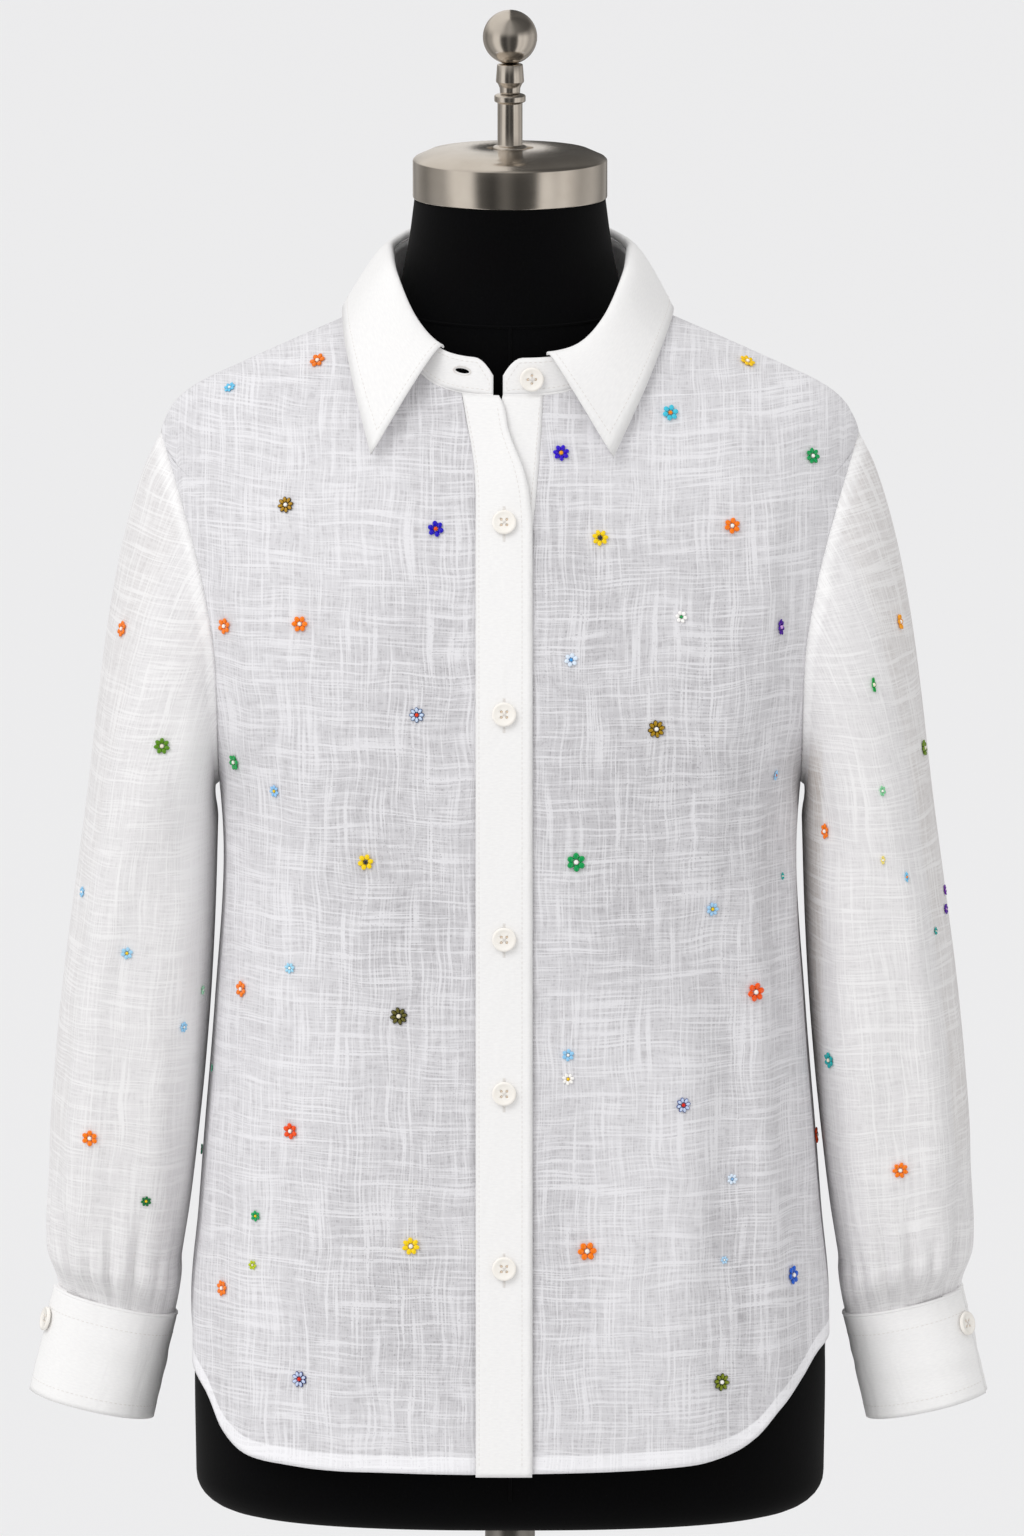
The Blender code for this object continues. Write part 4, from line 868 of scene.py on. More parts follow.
# Patches where the gauze clings to the form, or stands clear of it, beyond what the sections say; in part
# they are painted shade on fold valleys and painted light on fold ridges. Each gives the distance from the
# centre line, the height, the two half sizes in metres, and how much darker
ClingAndPaintedShading = namedtuple("ClingAndPaintedShading", "x height wide tall amount")
CLINGS_AND_PAINTED_SHADING = [
    ClingAndPaintedShading(-0.042, 1.218, 0.030, 0.050, 0.20),
    ClingAndPaintedShading(-0.048, 1.096, 0.040, 0.070, 0.30),
    ClingAndPaintedShading(-0.036, 0.944, 0.035, 0.080, 0.30),
    ClingAndPaintedShading(-0.054, 0.811, 0.040, 0.060, 0.32),
    ClingAndPaintedShading(-0.100, 0.853, 0.040, 0.080, 0.34),
    ClingAndPaintedShading(-0.092, 1.045, 0.045, 0.070, 0.26),
    ClingAndPaintedShading(0.039, 1.236, 0.030, 0.050, 0.25),
    ClingAndPaintedShading(0.130, 1.215, 0.030, 0.060, 0.28),
    ClingAndPaintedShading(0.114, 1.140, 0.045, 0.050, 0.28),
    ClingAndPaintedShading(0.086, 1.062, 0.050, 0.075, 0.36),
    ClingAndPaintedShading(0.141, 1.040, 0.028, 0.080, 0.30),
    ClingAndPaintedShading(0.138, 0.914, 0.022, 0.080, 0.26),
    ClingAndPaintedShading(0.136, 0.805, 0.028, 0.060, 0.30),
    ClingAndPaintedShading(0.030, 0.860, 0.018, 0.100, 0.22),
    ClingAndPaintedShading(0.080, 0.860, 0.030, 0.080, -0.36),
    ClingAndPaintedShading(0.105, 0.960, 0.018, 0.090, -0.15),
    ClingAndPaintedShading(-0.138, 1.005, 0.028, 0.100, -0.25),
    ClingAndPaintedShading(-0.144, 0.823, 0.030, 0.070, -0.25),
    ClingAndPaintedShading(-0.108, 1.297, 0.050, 0.050, -0.35),
    ClingAndPaintedShading(0.078, 1.330, 0.050, 0.045, -0.35),
]
CLING_BASE = 0.48
# The form shows less the further off it is, and hardly at all towards the sides
CLING_FADE = 0.022
SIDE_FROM, SIDE_WIDE, SIDE_CLEAR = 0.62, 0.36, 0.85


def nearness(x, turn, height, back):
    """How much of the black form shows through at a place, from 0 to 1, with the patches' painted shade and
    light added.
    """
    gap = (level_point(SHIRT, turn, height, back) - level_point(FORM, turn, height, back)).length
    close = math.exp(-gap / CLING_FADE) * CLING_BASE
    for cling_and_shading in CLINGS_AND_PAINTED_SHADING:
        far = ((x - cling_and_shading.x) / cling_and_shading.wide) ** 2 + ((height - cling_and_shading.height) / cling_and_shading.tall) ** 2
        if far < 9:
            close += cling_and_shading.amount * math.exp(-far)
    return max(close, 0.0) * (1 - SIDE_CLEAR * ease((turn - SIDE_FROM) / SIDE_WIDE))


def cloth(name, columns, rows, place, finish, thick, ring=False, outward=None):
    """A sheet of cloth: a grid set by place(column, row), which gives a point, its map and its shading."""
    bm = bmesh.new()
    bmesh.ops.create_grid(bm, x_segments=columns, y_segments=rows, size=0.5)
    layer = bm.loops.layers.uv.verify()
    shade = bm.verts.layers.float_color.new("cloth")
    where = {}
    for vert in bm.verts:
        i, j = round((vert.co.x + 0.5) * columns), round((vert.co.y + 0.5) * rows)
        vert.co, where[vert], (see_through_and_painted_shade, layers) = place(i, j)
        vert[shade] = (see_through_and_painted_shade, layers, 0.0, 1.0)
    for face in bm.faces:
        for loop in face.loops:
            loop[layer].uv = where[loop.vert]
    if ring:
        bmesh.ops.remove_doubles(bm, verts=bm.verts, dist=SAME_PLACE)
    bm.normal_update()
    middle = bm.faces[:][len(bm.faces) // 2]
    centre = outward or Vector((0, 0, middle.calc_center_median().z))
    if middle.normal.dot(middle.calc_center_median() - centre) < 0:
        bmesh.ops.reverse_faces(bm, faces=bm.faces)
    obj = piece(name, bm, finish, smooth=0)
    skin = obj.modifiers.new("thickness", "SOLIDIFY")
    skin.thickness = thick
    skin.offset = 0.0
    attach(obj, "root")
    return obj


def gauze(name, gap, thread, slub, through):
    """Sheer slub gauze: a fine open mesh of thin threads, crossed by thick soft ones at odd spacings.

    The colours are those of the open mesh, its thin threads, the slubs, and what lies behind them: the form,
    and on the sleeves a painted shade."""
    new, tree, shader = material(name, 0.92)
    place = add(tree, "UVMap").outputs["UV"]
    flat = {"noise_dimensions": "2D"}
    stir = add(tree, "TexNoise", flat, {"Scale": 22.0, "Detail": 1.0}, {"Vector": place}).outputs["Color"]
    by = {1: (0.006, 0.006, 0.0)}
    sway = add(tree, "VectorMath", {"operation": "MULTIPLY_ADD"}, by, {0: stir, 2: place}).outputs["Vector"]

    def threads(across, along, low, high):
        """Threads of this width and run, in millimetres, by width first along U and then along V."""
        size = (1000.0 / across, 1000.0 / along, 1.0)
        fibre = speckle(tree, sway, detail=1.0, stretch=size, flat=True, Roughness=0.55)
        span = {"From Min": low, "From Max": high}
        return add(tree, "MapRange", values=span, links={"Value": fibre}).outputs["Result"]

    def maths(operation, first, second):
        new = add(tree, "Math", {"operation": operation, "use_clamp": True})
        for socket, value in enumerate((first, second)):
            if isinstance(value, float):
                new.inputs[socket].default_value = value
            else:
                tree.links.new(value, new.inputs[socket])
        return new.outputs[0]

    # The fine mesh is about 0.6 mm, drawn at 1.3 mm so that it shows
    mesh = maths("ADD", threads(1.3, 9.0, 0.38, 0.62), threads(9.0, 1.3, 0.38, 0.62))
    mesh = maths("MULTIPLY", mesh, 0.5)
    # Slubs under 1.5 mm thick run for 60 to 200 mm, in bunches 5 to 15 mm wide
    warp_slubs = maths("MULTIPLY", threads(1.4, 60.0, 0.44, 0.62), threads(6.0, 50.0, 0.28, 0.66))
    weft_slubs = maths("MULTIPLY", threads(60.0, 1.4, 0.44, 0.62), threads(50.0, 6.0, 0.28, 0.66))
    slubs = maths("ADD", warp_slubs, weft_slubs)
    # Here and there the mesh lies open, as a dot of 1 mm
    dots = threads(1.6, 1.6, 0.70, 0.76)
    # Red is how far the form shows through, with painted shade on the sleeves and painted shade and light in
    # patches on the body; green is doubled layers, with painted light on the wearer's right sleeve
    held = add(tree, "Attribute", {"attribute_name": "cloth"})
    parts = add(tree, "SeparateColor", links={"Color": held.outputs["Color"]})
    see_through_and_painted_shade, layers = parts.outputs["Red"], parts.outputs["Green"]
    patch = threads(60.0, 90.0, 0.30, 0.70)
    seen = maths("MULTIPLY", see_through_and_painted_shade, maths("ADD", maths("MULTIPLY", patch, 0.40), 0.45))
    dark = maths("MULTIPLY", seen, maths("SUBTRACT", 1.0, layers))
    # The colour behind greys the open mesh most, the thin threads less and the slubs least: the form, and on
    # the sleeves a painted shade
    open_share = maths("SUBTRACT", 1.0, maths("MULTIPLY", mesh, 0.45))
    shown = mix(tree, maths("MULTIPLY", dark, open_share), mix(tree, mesh, gap, thread), through)
    barred = mix(tree, maths("ADD", maths("MULTIPLY", slubs, 0.58), layers), shown, slub)
    colour = mix(tree, maths("MULTIPLY", dots, maths("MULTIPLY", see_through_and_painted_shade, 0.8)), barred, through)
    height = maths("ADD", maths("MULTIPLY", mesh, 0.4), slubs)
    dress(
        tree,
        shader,
        {"Base Color": colour, "Normal": relief(tree, height, 0.5, 0.0003)},
        {"Sheen Weight": 0.2, "Sheen Roughness": 0.6, "Specular IOR Level": 0.2},
    )
    return new


# Cotton gauze over black: a cool pale grey, speckled by its open mesh and barred by white slubs
body_gauze = gauze("slub cotton gauze over black", "#CBC9CC", "#EAE9EC", "#F8F7FA", "#858286")


def panel_share(j):
    """How far up a panel each row is: close rows at the hem, then even ones."""
    first = len(HEM_SHARES)
    if j < first:
        return HEM_SHARES[j]
    return HEM_SHARES[-1] + (1 - HEM_SHARES[-1]) * (j - first + 1) / (PANEL_ROWS - first + 1)


def front_place(side):
    """The rule that sets a front: side -1 is the wearer's right, which carries the buttonholes."""
    hem = HEM_RIGHT if side < 0 else HEM_LEFT
    inner = "right_inner" if side < 0 else "left_inner"

    def edge(height):
        return abs(read(BANDS, inner, height)) - SEAM_LAP

    def place(i, j):
        across, share = i / PANEL_COLUMNS, panel_share(j)
        turn, height = panel_point(share, across, edge, hem, False)
        point = level_point(SHIRT, turn, height, False)
        near = ease(across * 4) * ease((1 - across) * 5)
        mapped = grain(point.x, height, False)
        lift = (fold_lift(side, turn, height) + crease_lift(CREASES[side], mapped[0], height)) * near
        if side < 0:
            lift += OVERLAP_LIFT * (1 - ease(across / OVERLAP_REACH))
        point += Vector((point.x * 0.5, point.y, 0)).normalized() * lift
        doubled = HEM_LAYERS_FRONT if share < HEM_SHARE else 0.0
        doubled = max(doubled, SIDE_SEAM_LAYERS * ease((across - 0.985) / 0.01))
        shade = nearness(side * point.x, turn, height, False) * (1 - 0.5 * ease(lift / 0.008))
        mapped = (mapped[0] + (1.0 if side > 0 else 0.0), mapped[1])
        return Vector((side * point.x, point.y, point.z)), mapped, (shade, doubled)

    return place


def back_place(i, j):
    """The rule that sets the back, from the wearer's right side round to the left."""
    columns = 2 * PANEL_COLUMNS
    way = 2 * i / columns - 1
    across, side = abs(way), math.copysign(1, way)
    share = panel_share(j)
    turn, height = panel_point(share, across, lambda height: 0.0, HEM_REAR, True)
    point = level_point(SHIRT, turn, height, True)
    mapped = grain(point.x, height, True)
    creases = crease_lift(CREASES[0], side * mapped[0], height)
    lift = (fold_lift(0, side * turn, height) + creases) * ease((1 - across) * 5)
    point += Vector((point.x * 0.5, point.y, 0)).normalized() * lift
    doubled = HEM_LAYERS_BACK if share < HEM_SHARE else 0.0
    shade = nearness(side * point.x, turn, height, True) * (1 - 0.5 * ease(lift / 0.008))
    return Vector((side * point.x, point.y, point.z)), (2.5 + side * mapped[0], mapped[1]), (shade, doubled)


panels = {}
for side, hand in ((-1, "right"), (1, "left")):
    panels[side] = cloth(
        f"gauze_front_{hand}", PANEL_COLUMNS, PANEL_ROWS, front_place(side), body_gauze, GAUZE_THICK
    )
    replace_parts(panels[side], f"front_{hand}")
panels[0] = cloth("gauze_back", 2 * PANEL_COLUMNS, PANEL_ROWS, back_place, body_gauze, GAUZE_THICK)
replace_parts(panels[0], "back")

# --- The front bands --------------------------------------------------------------------------------
# Two straight bands of crisp white poplin, folded double and topstitched. The wearer's right one
# laps over the left one, and its top rolls open a little above the first button.
POPLIN_THICK = 0.0013
# How much lower the buttonhole band ends
OVER_HANG = 0.0015
BAND_COLUMNS = 10
BAND_ROWS = 190


def front_surface(x, height):
    """A point of the shirt's front at a distance from the centre line."""
    point = level_point(SHIRT, turn_at(x, height), height, False)
    return Vector((x, point.y, height))


def band_place(inner, edge, lift, roll, hem):
    """The rule that sets a front band, from its seam to its free edge."""

    def place(i, j):
        way, up = i / BAND_COLUMNS, j / BAND_ROWS
        height = hem + (NECK_FRONT - hem) * up
        x = read(BANDS, inner, height) * (1 - way) + read(BANDS, edge, height) * way
        top = neck_seam(neck_angle(x), False)[0]
        height = hem + (top - hem) * up
        point = front_surface(x, height)
        swell = math.sin(math.pi * ease((height - BAND_OPENS) / (NECK_FRONT - BAND_OPENS)))
        point.y -= lift + roll * swell * way**2
        # The free edge puckers a little between its stitches
        pucker = noise.noise(Vector((height * 55, lift * 900, 0))) * ease((way - 0.55) / 0.4)
        point.y -= BAND_PUCKER * pucker
        return point, (x, height), (0.0, 0.0)

    return place


# Crisp white cotton poplin: an even dense weave, faintly ribbed across, smooth and opaque beside the
# gauze, with soft pressed creases
white_poplin, tree, shader = material("white cotton poplin", 0.78)
place = add(tree, "UVMap").outputs["UV"]
# A thread is 0.25 mm, drawn at 0.9 mm so that it shows
weave = speckle(tree, place, stretch=(300.0, 1100.0, 1.0), flat=True)
crease = speckle(tree, place, detail=3.0, stretch=(60.0, 24.0, 1.0), flat=True, Distortion=0.6)
pressed = relief(tree, crease, 0.35, 0.002, relief(tree, weave, 0.25, 0.0002))
dress(
    tree,
    shader,
    {"Base Color": mix(tree, weave, "#FBFAF9", "#F1F0F0"), "Normal": pressed},
    {"Sheen Weight": 0.15, "Specular IOR Level": 0.3},
)
under = band_place("left_inner", "left_edge", 0.0, 0.0, HEM_FRONT)
over = band_place("right_inner", "right_edge", OVERLAP_LIFT, BAND_ROLL, HEM_FRONT - OVER_HANG)
bands = {}
for kind, rule in (("button", under), ("buttonhole", over)):
    bands[kind] = cloth(f"poplin_{kind}_band", BAND_COLUMNS, BAND_ROWS, rule, white_poplin, POPLIN_THICK)
    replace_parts(bands[kind], f"{kind}_band")

# --- The collar -------------------------------------------------------------------------------------
# A stand sewn to the neck seam, with a worked buttonhole at its right end, and a fall that rolls
# over it and lies down to two long points. Both are poplin over a stiff lining.
# The collar stand above the neck seam, by the angle round from the centre front
Stand = namedtuple("Stand", "angle rise lean")
STAND = [
    Stand(0.0, 0.0205, 0.0005),
    Stand(30.0, 0.0205, 0.0010),
    Stand(50.0, 0.0235, 0.0020),
    Stand(70.0, 0.0285, 0.0030),
    Stand(90.0, 0.0300, 0.0035),
    Stand(135.0, 0.0305, 0.0040),
    Stand(180.0, 0.0310, 0.0040),
]
STAND_RIGHT_END = -0.0100
STAND_LEFT_END = -0.0042
STAND_CORNER = 0.012
STAND_END_RISE = 0.010
STAND_LENGTH = 0.46
BUTTONHOLE_SHARE = 0.56
BUTTONHOLE_IN = 15.0
# The collar fall's outer edge, from the centre back to its point, on each side
Fall = namedtuple("Fall", "share along forward height")
FALL_RIGHT = [
    Fall(0.00, 0.0000, -0.1020, 1.4090),
    Fall(0.22, 0.0560, -0.0930, 1.4070),
    Fall(0.42, 0.0900, -0.0540, 1.4050),
    Fall(0.58, 0.1000, -0.0080, 1.4040),
    Fall(0.72, 0.0990, 0.0380, 1.3960),
    Fall(0.86, 0.0930, 0.0700, 1.3690),
    Fall(1.00, 0.0828, 0.0920, 1.3305),
]
FALL_LEFT = [
    Fall(0.00, 0.0000, -0.1020, 1.4090),
    Fall(0.22, 0.0560, -0.0930, 1.4070),
    Fall(0.42, 0.0885, -0.0540, 1.4050),
    Fall(0.58, 0.0975, -0.0080, 1.4040),
    Fall(0.72, 0.0935, 0.0380, 1.3970),
    Fall(0.86, 0.0820, 0.0700, 1.3710),
    Fall(1.00, 0.0616, 0.0930, 1.3290),
]
FALL_RIGHT_END = 0.0400
FALL_LEFT_END = 0.0220
FALL_ROLL = 0.0075
# The fall on the flat cloth
FALL_HALF_LENGTH, FALL_DEPTH = 0.23, 0.075
SEAM_GAP = 0.0004
# Cloth thicknesses, and the gap that parts pieces at a seam
GAUZE = 0.0012
POPLIN = 0.0018
STAND_COLUMNS = 150
STAND_ROWS = 8
STAND_TUCK = 0.0016
# Its columns stand closer near its ends
STAND_CROWD = 0.035
# The stand's right end rides forward over the lap, by this share of the lap, fading over these degrees
LAP_SHARE, LAP_FADE = 0.6, 30
# The fall's columns stand closer at the back, its rows closer at the fold, and its roll is flatter
# towards its points
FALL_COLUMN_POWER, FALL_ROW_POWER = 0.92, 1.25
POINT_FROM, POINT_FLATTER = 0.7, 0.35
FALL_COLUMNS = 130
FALL_ROWS = 26


def neck_point(angle):
    """A point of the neck seam, by the angle from the centre front round the wearer's right."""
    angle %= 360.0
    side = -1 if angle <= 180 else 1
    half = angle if angle <= 180 else 360 - angle
    back = half > 90
    height, turn = neck_seam(180 - half if back else half, back)
    point = level_point(SHIRT, turn, height, back)
    return Vector((side * point.x, point.y, point.z)), half


def cut_out(obj, knife):
    """The mesh of an object as it is seen, with a knife cut out of it. The knife is then removed."""
    cut = obj.modifiers.new("cut", "BOOLEAN")
    cut.operation, cut.solver, cut.object = "DIFFERENCE", "EXACT", knife
    graph = bpy.context.evaluated_depsgraph_get()
    seen = obj.evaluated_get(graph)
    mesh = bpy.data.meshes.new_from_object(seen, preserve_all_data_layers=True, depsgraph=graph)
    bpy.data.objects.remove(knife)
    return mesh


def stand_top(angle, rise_share=1.0):
    """The collar stand's middle above the neck seam, up to its top edge."""
    point, half = neck_point(angle)
    rise = read(STAND, "rise", half) * rise_share
    lean = read(STAND, "lean", half) * rise_share
    inward = Vector((-point.x, -point.y, 0)).normalized()
    near_right = 1 - ease((angle % 360.0) / LAP_FADE) if angle < 180 else 0.0
    point.y -= OVERLAP_LIFT * near_right * LAP_SHARE
    along = (neck_point(angle + 1)[0] - neck_point(angle - 1)[0]).normalized()
    clear = (SEAM_GAP + GAUZE) / math.sqrt(1 - along.z**2)
    return point + inward * lean + Vector((0, 0, rise + clear))


def stand_place(i, j):
    """The rule that sets the stand, from the wearer's right round the back to the left."""
    start = neck_angle(STAND_RIGHT_END)
    end = 360 + neck_angle(STAND_LEFT_END)
    share = i / STAND_COLUMNS
    share -= STAND_CROWD * math.sin(2 * math.pi * share)
    angle = start + (end - start) * share
    near = min(share, 1 - share) * STAND_LENGTH
    corner = min(near / STAND_CORNER, 1.0)
    full = read(STAND, "rise", neck_point(angle)[1])
    rise = (STAND_END_RISE + (full - STAND_END_RISE) * (1 - (1 - corner) ** 2)) / full
    point = stand_top(angle, rise * j / STAND_ROWS)
    # Its lower edge is turned in and sewn down over the neck seam
    point.z -= STAND_TUCK * (1 - j / STAND_ROWS) ** 2
    return point, (share * STAND_LENGTH, point.z), (0.0, 0.0)


def fall_place(i, j):
    """The rule that sets the fall: it rises off the stand, rolls over and lies down to its edge."""
    right = neck_angle(FALL_RIGHT_END)
    left = neck_angle(FALL_LEFT_END)
    way = 2 * i / FALL_COLUMNS - 1
    share = abs(way)
    table = FALL_RIGHT if way < 0 else FALL_LEFT
    reach = (180 - right) if way < 0 else (180 - left)
    angle = 180 + math.copysign(reach * share**FALL_COLUMN_POWER, way)
    start = stand_top(angle)
    start.z += POPLIN / 2 + SEAM_GAP
    out = Vector((start.x, start.y, 0)).normalized()
    along, forward = math.copysign(read(table, "along", share), way), read(table, "forward", share)
    edge = Vector((along, -forward, read(table, "height", share)))
    roll = FALL_ROLL * (1 - POINT_FLATTER * ease((share - POINT_FROM) / 0.3))
    first = start + Vector((0, 0, roll)) + out * 0.001
    second = start + Vector((0, 0, roll * 0.2)) + out * 0.2 * (edge - start).length
    t = (j / FALL_ROWS) ** FALL_ROW_POWER
    point = start * (1 - t) ** 3 + first * 3 * t * (1 - t) ** 2
    point = point + second * 3 * t * t * (1 - t) + edge * t**3
    return point, (way * FALL_HALF_LENGTH, t * FALL_DEPTH), (0.0, 0.0)


stand = cloth("poplin_collar_stand", STAND_COLUMNS, STAND_ROWS, stand_place, white_poplin, POPLIN_THICK)
# The open buttonhole near its right end is cut right through both layers
hole_angle = neck_angle(STAND_RIGHT_END) + BUTTONHOLE_IN
hole_middle = stand_top(hole_angle, BUTTONHOLE_SHARE)
hole_ends = [stand_top(hole_angle + ahead, BUTTONHOLE_SHARE) for ahead in (-2, 2)]
hole_x = (hole_ends[1] - hole_ends[0]).normalized()
hole_y = Vector((0, 0, 1)).cross(hole_x).normalized()
hole_z = hole_x.cross(hole_y)
HOLE = Vector((0.0088, 0.0085, 0.0030))
bm = bmesh.new()
bmesh.ops.create_cone(bm, cap_ends=True, segments=24, radius1=0.5, radius2=0.5, depth=1.0)
slit = placed(hole_x, hole_z, hole_y, hole_middle) @ Matrix.Diagonal((HOLE.x, HOLE.z, HOLE.y, 1))
bmesh.ops.transform(bm, matrix=slit, verts=bm.verts)
bmesh.ops.recalc_face_normals(bm, faces=bm.faces)
mesh = cut_out(stand, piece("buttonhole_knife", bm, white_poplin))
stand.modifiers.clear()
stand.data = mesh
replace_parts(stand, "collar_stand")
fall = cloth("poplin_collar_fall", FALL_COLUMNS, FALL_ROWS, fall_place, white_poplin, POPLIN_THICK)
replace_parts(fall, "collar_fall")

# --- The sleeves ------------------------------------------------------------------------------------
# Long full sleeves of the same gauze, set into the armholes and gathered into their cuffs. Nothing
# dark stands behind them, so they are whiter than the body.
# The sleeve's sections below the underarm, by height: outer and inner edge, middle and half depth
Sleeve = namedtuple("Sleeve", "height outer inner middle half_depth")
SLEEVE = [
    Sleeve(0.8300, 0.2745, 0.1985, -0.002, 0.0520),
    Sleeve(0.8600, 0.2768, 0.1932, 0.000, 0.0600),
    Sleeve(0.9000, 0.2764, 0.1882, 0.002, 0.0680),
    Sleeve(0.9500, 0.2730, 0.1830, 0.004, 0.0740),
    Sleeve(1.0000, 0.2680, 0.1792, 0.006, 0.0780),
    Sleeve(1.0500, 0.2615, 0.1768, 0.007, 0.0800),
    Sleeve(1.0950, 0.2555, 0.1755, 0.007, 0.0810),
]
SLEEVE_SQUARENESS = 2.3
# The sleeve's long soft folds, by the angle from its outer edge round the front, in degrees
Pleat = namedtuple("Pleat", "angle width depth")
SLEEVE_FOLDS = [
    Pleat(60.0, 16.0, 0.0040),
    Pleat(118.0, 17.0, 0.0044),
    Pleat(238.0, 18.0, 0.0040),
    Pleat(300.0, 17.0, 0.0040),
]
SLEEVE_FOLDS_TOP = 1.10
SLEEVE_FOLDS_BOTTOM = 0.80
# The step from the armhole seam out to the sleeve, at the top and added under the arm
HEAD_STEP = 0.0012
UNDER_STEP = 0.0010
GATHER_DEPTH = 0.0052
GATHER_RISE = 0.110
GATHER_SETTLE = 0.030
CUFF_HEIGHT = 0.065
# The cuff: the middle of its top edge, and its lean out from the body
CUFF_TOP = Vector((0.2362, -0.003, 0.8045))
CUFF_LEAN = math.radians(13.0)
CUFF_HALF_WIDTH = 0.0365
CUFF_HALF_DEPTH = 0.0345
CUFF_FLARE = 0.0003
SLEEVE_COLUMNS = 132
SLEEVE_HEAD_ROWS = 34
SLEEVE_LOWER_ROWS = 96
SLEEVE_END_ROWS = 8
SLEEVE_CUT = 0.36
GATHERS = 17
# Side -1 is the wearer's right. Beside the body a sleeve gets painted shade, less on the right, where painted
# light is added as though light came through it. The outer edges that turn from the light get painted shade
# as well
UNDER_SHADE, UNDER_EDGE, UNDER_TOP = {-1: 0.25, 1: 0.95}, 0.1885, 1.16
OUTER_SHADE = {-1: 0.10, 1: 0.30}
# Painted light on the wearer's right sleeve beside the body, given as a share of doubled layers
LIT_PAINTED_LIGHT, LIT_EDGE, LIT_TOP = 0.75, 0.206, 1.19
# The seam allowance pressed to the sleeve's side shows white through the gauze
ALLOWANCE, ALLOWANCE_LAYERS = 0.009, 0.55
# How far the sleeve's end is tucked into the cuff
TUCK_DOWN, TUCK_IN = 0.0035, 0.0016


def armhole_ring():
    """The armhole seam on +X: from the shoulder point down the front, under the arm and up the back."""
    fine = 60
    halves = []
    for back, column in ((False, "front_width"), (True, "back_width")):
        points = []
        for i in range(fine + 1):
            share = (1 - math.cos(math.pi * i / fine)) / 2
            height = SHOULDER_POINT + (UNDERARM - SHOULDER_POINT) * share
            turn = turn_at(read(ARMHOLE, column, height), height)
            points.append(level_point(SHIRT, turn, height, back))
        lengths = running(points)
        steps = SLEEVE_COLUMNS // 2
        even = []
        for k in range(steps + 1):
            want = lengths[-1] * k / steps
            i = max(j for j in range(fine) if lengths[j] <= want)
            share = (want - lengths[i]) / (lengths[i + 1] - lengths[i])
            even.append(points[i].lerp(points[i + 1], min(share, 1.0)))
        halves.append(even)
    return halves[0][:-1] + list(reversed(halves[1]))[:-1]


def sleeve_section(angle, height):
    """A point of the sleeve's level section on +X: angle 0 is its outer edge and 90 the front."""
    outer = read(SLEEVE, "outer", height)
    inner = read(SLEEVE, "inner", height)
    power = 2 / SLEEVE_SQUARENESS
    cos, sin = math.cos(angle), math.sin(angle)
    x = (outer + inner) / 2 + (outer - inner) / 2 * math.copysign(abs(cos) ** power, cos)
    deep = read(SLEEVE, "half_depth", height)
    return Vector((x, read(SLEEVE, "middle", height) - deep * math.copysign(abs(sin) ** power, sin), height))


def cuff_frame():
    """The cuff's axes on +X: out from the body, forward, and down its length."""
    out = Vector((math.cos(CUFF_LEAN), 0, math.sin(CUFF_LEAN)))
    down = Vector((math.sin(CUFF_LEAN), 0, -math.cos(CUFF_LEAN)))
    return out, Vector((0, -1, 0)), down


def cuff_point(angle, drop, grow=0.0):
    """A point of the cuff: angle 0 is its outer side and 90 the front, and drop is down from its top edge."""
    out, forward, down = cuff_frame()
    flare = CUFF_FLARE * drop / CUFF_HEIGHT + grow
    point = CUFF_TOP + out * (CUFF_HALF_WIDTH + flare) * math.cos(angle)
    return point + forward * (CUFF_HALF_DEPTH + flare) * math.sin(angle) + down * drop


def gather(angle, height_above_cuff):
    """The gathers' wave: full a little above the cuff, fading up the sleeve at uneven heights."""
    uneven = noise.noise(Vector((math.cos(angle) * 2.1, math.sin(angle) * 2.1, 3.7)))
    fade = ease(1 - height_above_cuff / (GATHER_RISE * (0.80 + 0.7 * uneven)))
    settle = 0.55 + 0.45 * ease(height_above_cuff / GATHER_SETTLE)
    inner = 1 - 0.55 * ease(-math.cos(angle) * 1.4)
    # Round ridges meet in sharp valleys, at uneven spacings
    half_turns = GATHERS * angle / 2 + 0.55 * math.sin(3 * angle + 1.0) + 0.3 * math.sin(5 * angle)
    wave = 2 * abs(math.sin(half_turns)) ** 0.75 - 1.15
    return GATHER_DEPTH * (1 + 0.9 * uneven) * fade * settle * inner * wave


def sleeve_folds(angle, height):
    """Two long soft folds down the front of the sleeve and two down its back."""
    total = 0.0
    for fold in SLEEVE_FOLDS:
        away = (math.degrees(angle) - fold.angle + 180) % 360 - 180
        total += fold.depth * math.exp(-((away / fold.width) ** 2))
    low = ease((height - SLEEVE_FOLDS_BOTTOM) / 0.05)
    return total * low * ease((SLEEVE_FOLDS_TOP - height) / 0.06)


# The sleeves' small creases: by the angle round from the outer edge, as a distance, and the height
SLEEVE_CREASES = [
    Crease(0.040, 0.845, 0.055, 1.000, 0.009, 0.0014),
    Crease(0.075, 0.850, 0.082, 1.060, 0.010, -0.0016),
    Crease(0.110, 0.850, 0.100, 1.030, 0.009, 0.0016),
    Crease(0.150, 0.860, 0.140, 1.020, 0.010, 0.0014),
    Crease(0.060, 1.000, 0.095, 1.160, 0.012, 0.0018),
    Crease(0.130, 0.980, 0.120, 1.140, 0.011, -0.0014),
    Crease(0.020, 0.900, 0.025, 1.120, 0.010, 0.0012),
    Crease(0.200, 0.860, 0.215, 1.040, 0.010, 0.0015),
    Crease(0.250, 0.850, 0.240, 1.020, 0.010, -0.0016),
    Crease(0.290, 0.860, 0.300, 1.080, 0.011, 0.0016),
    Crease(0.330, 0.850, 0.325, 1.000, 0.009, 0.0013),
]


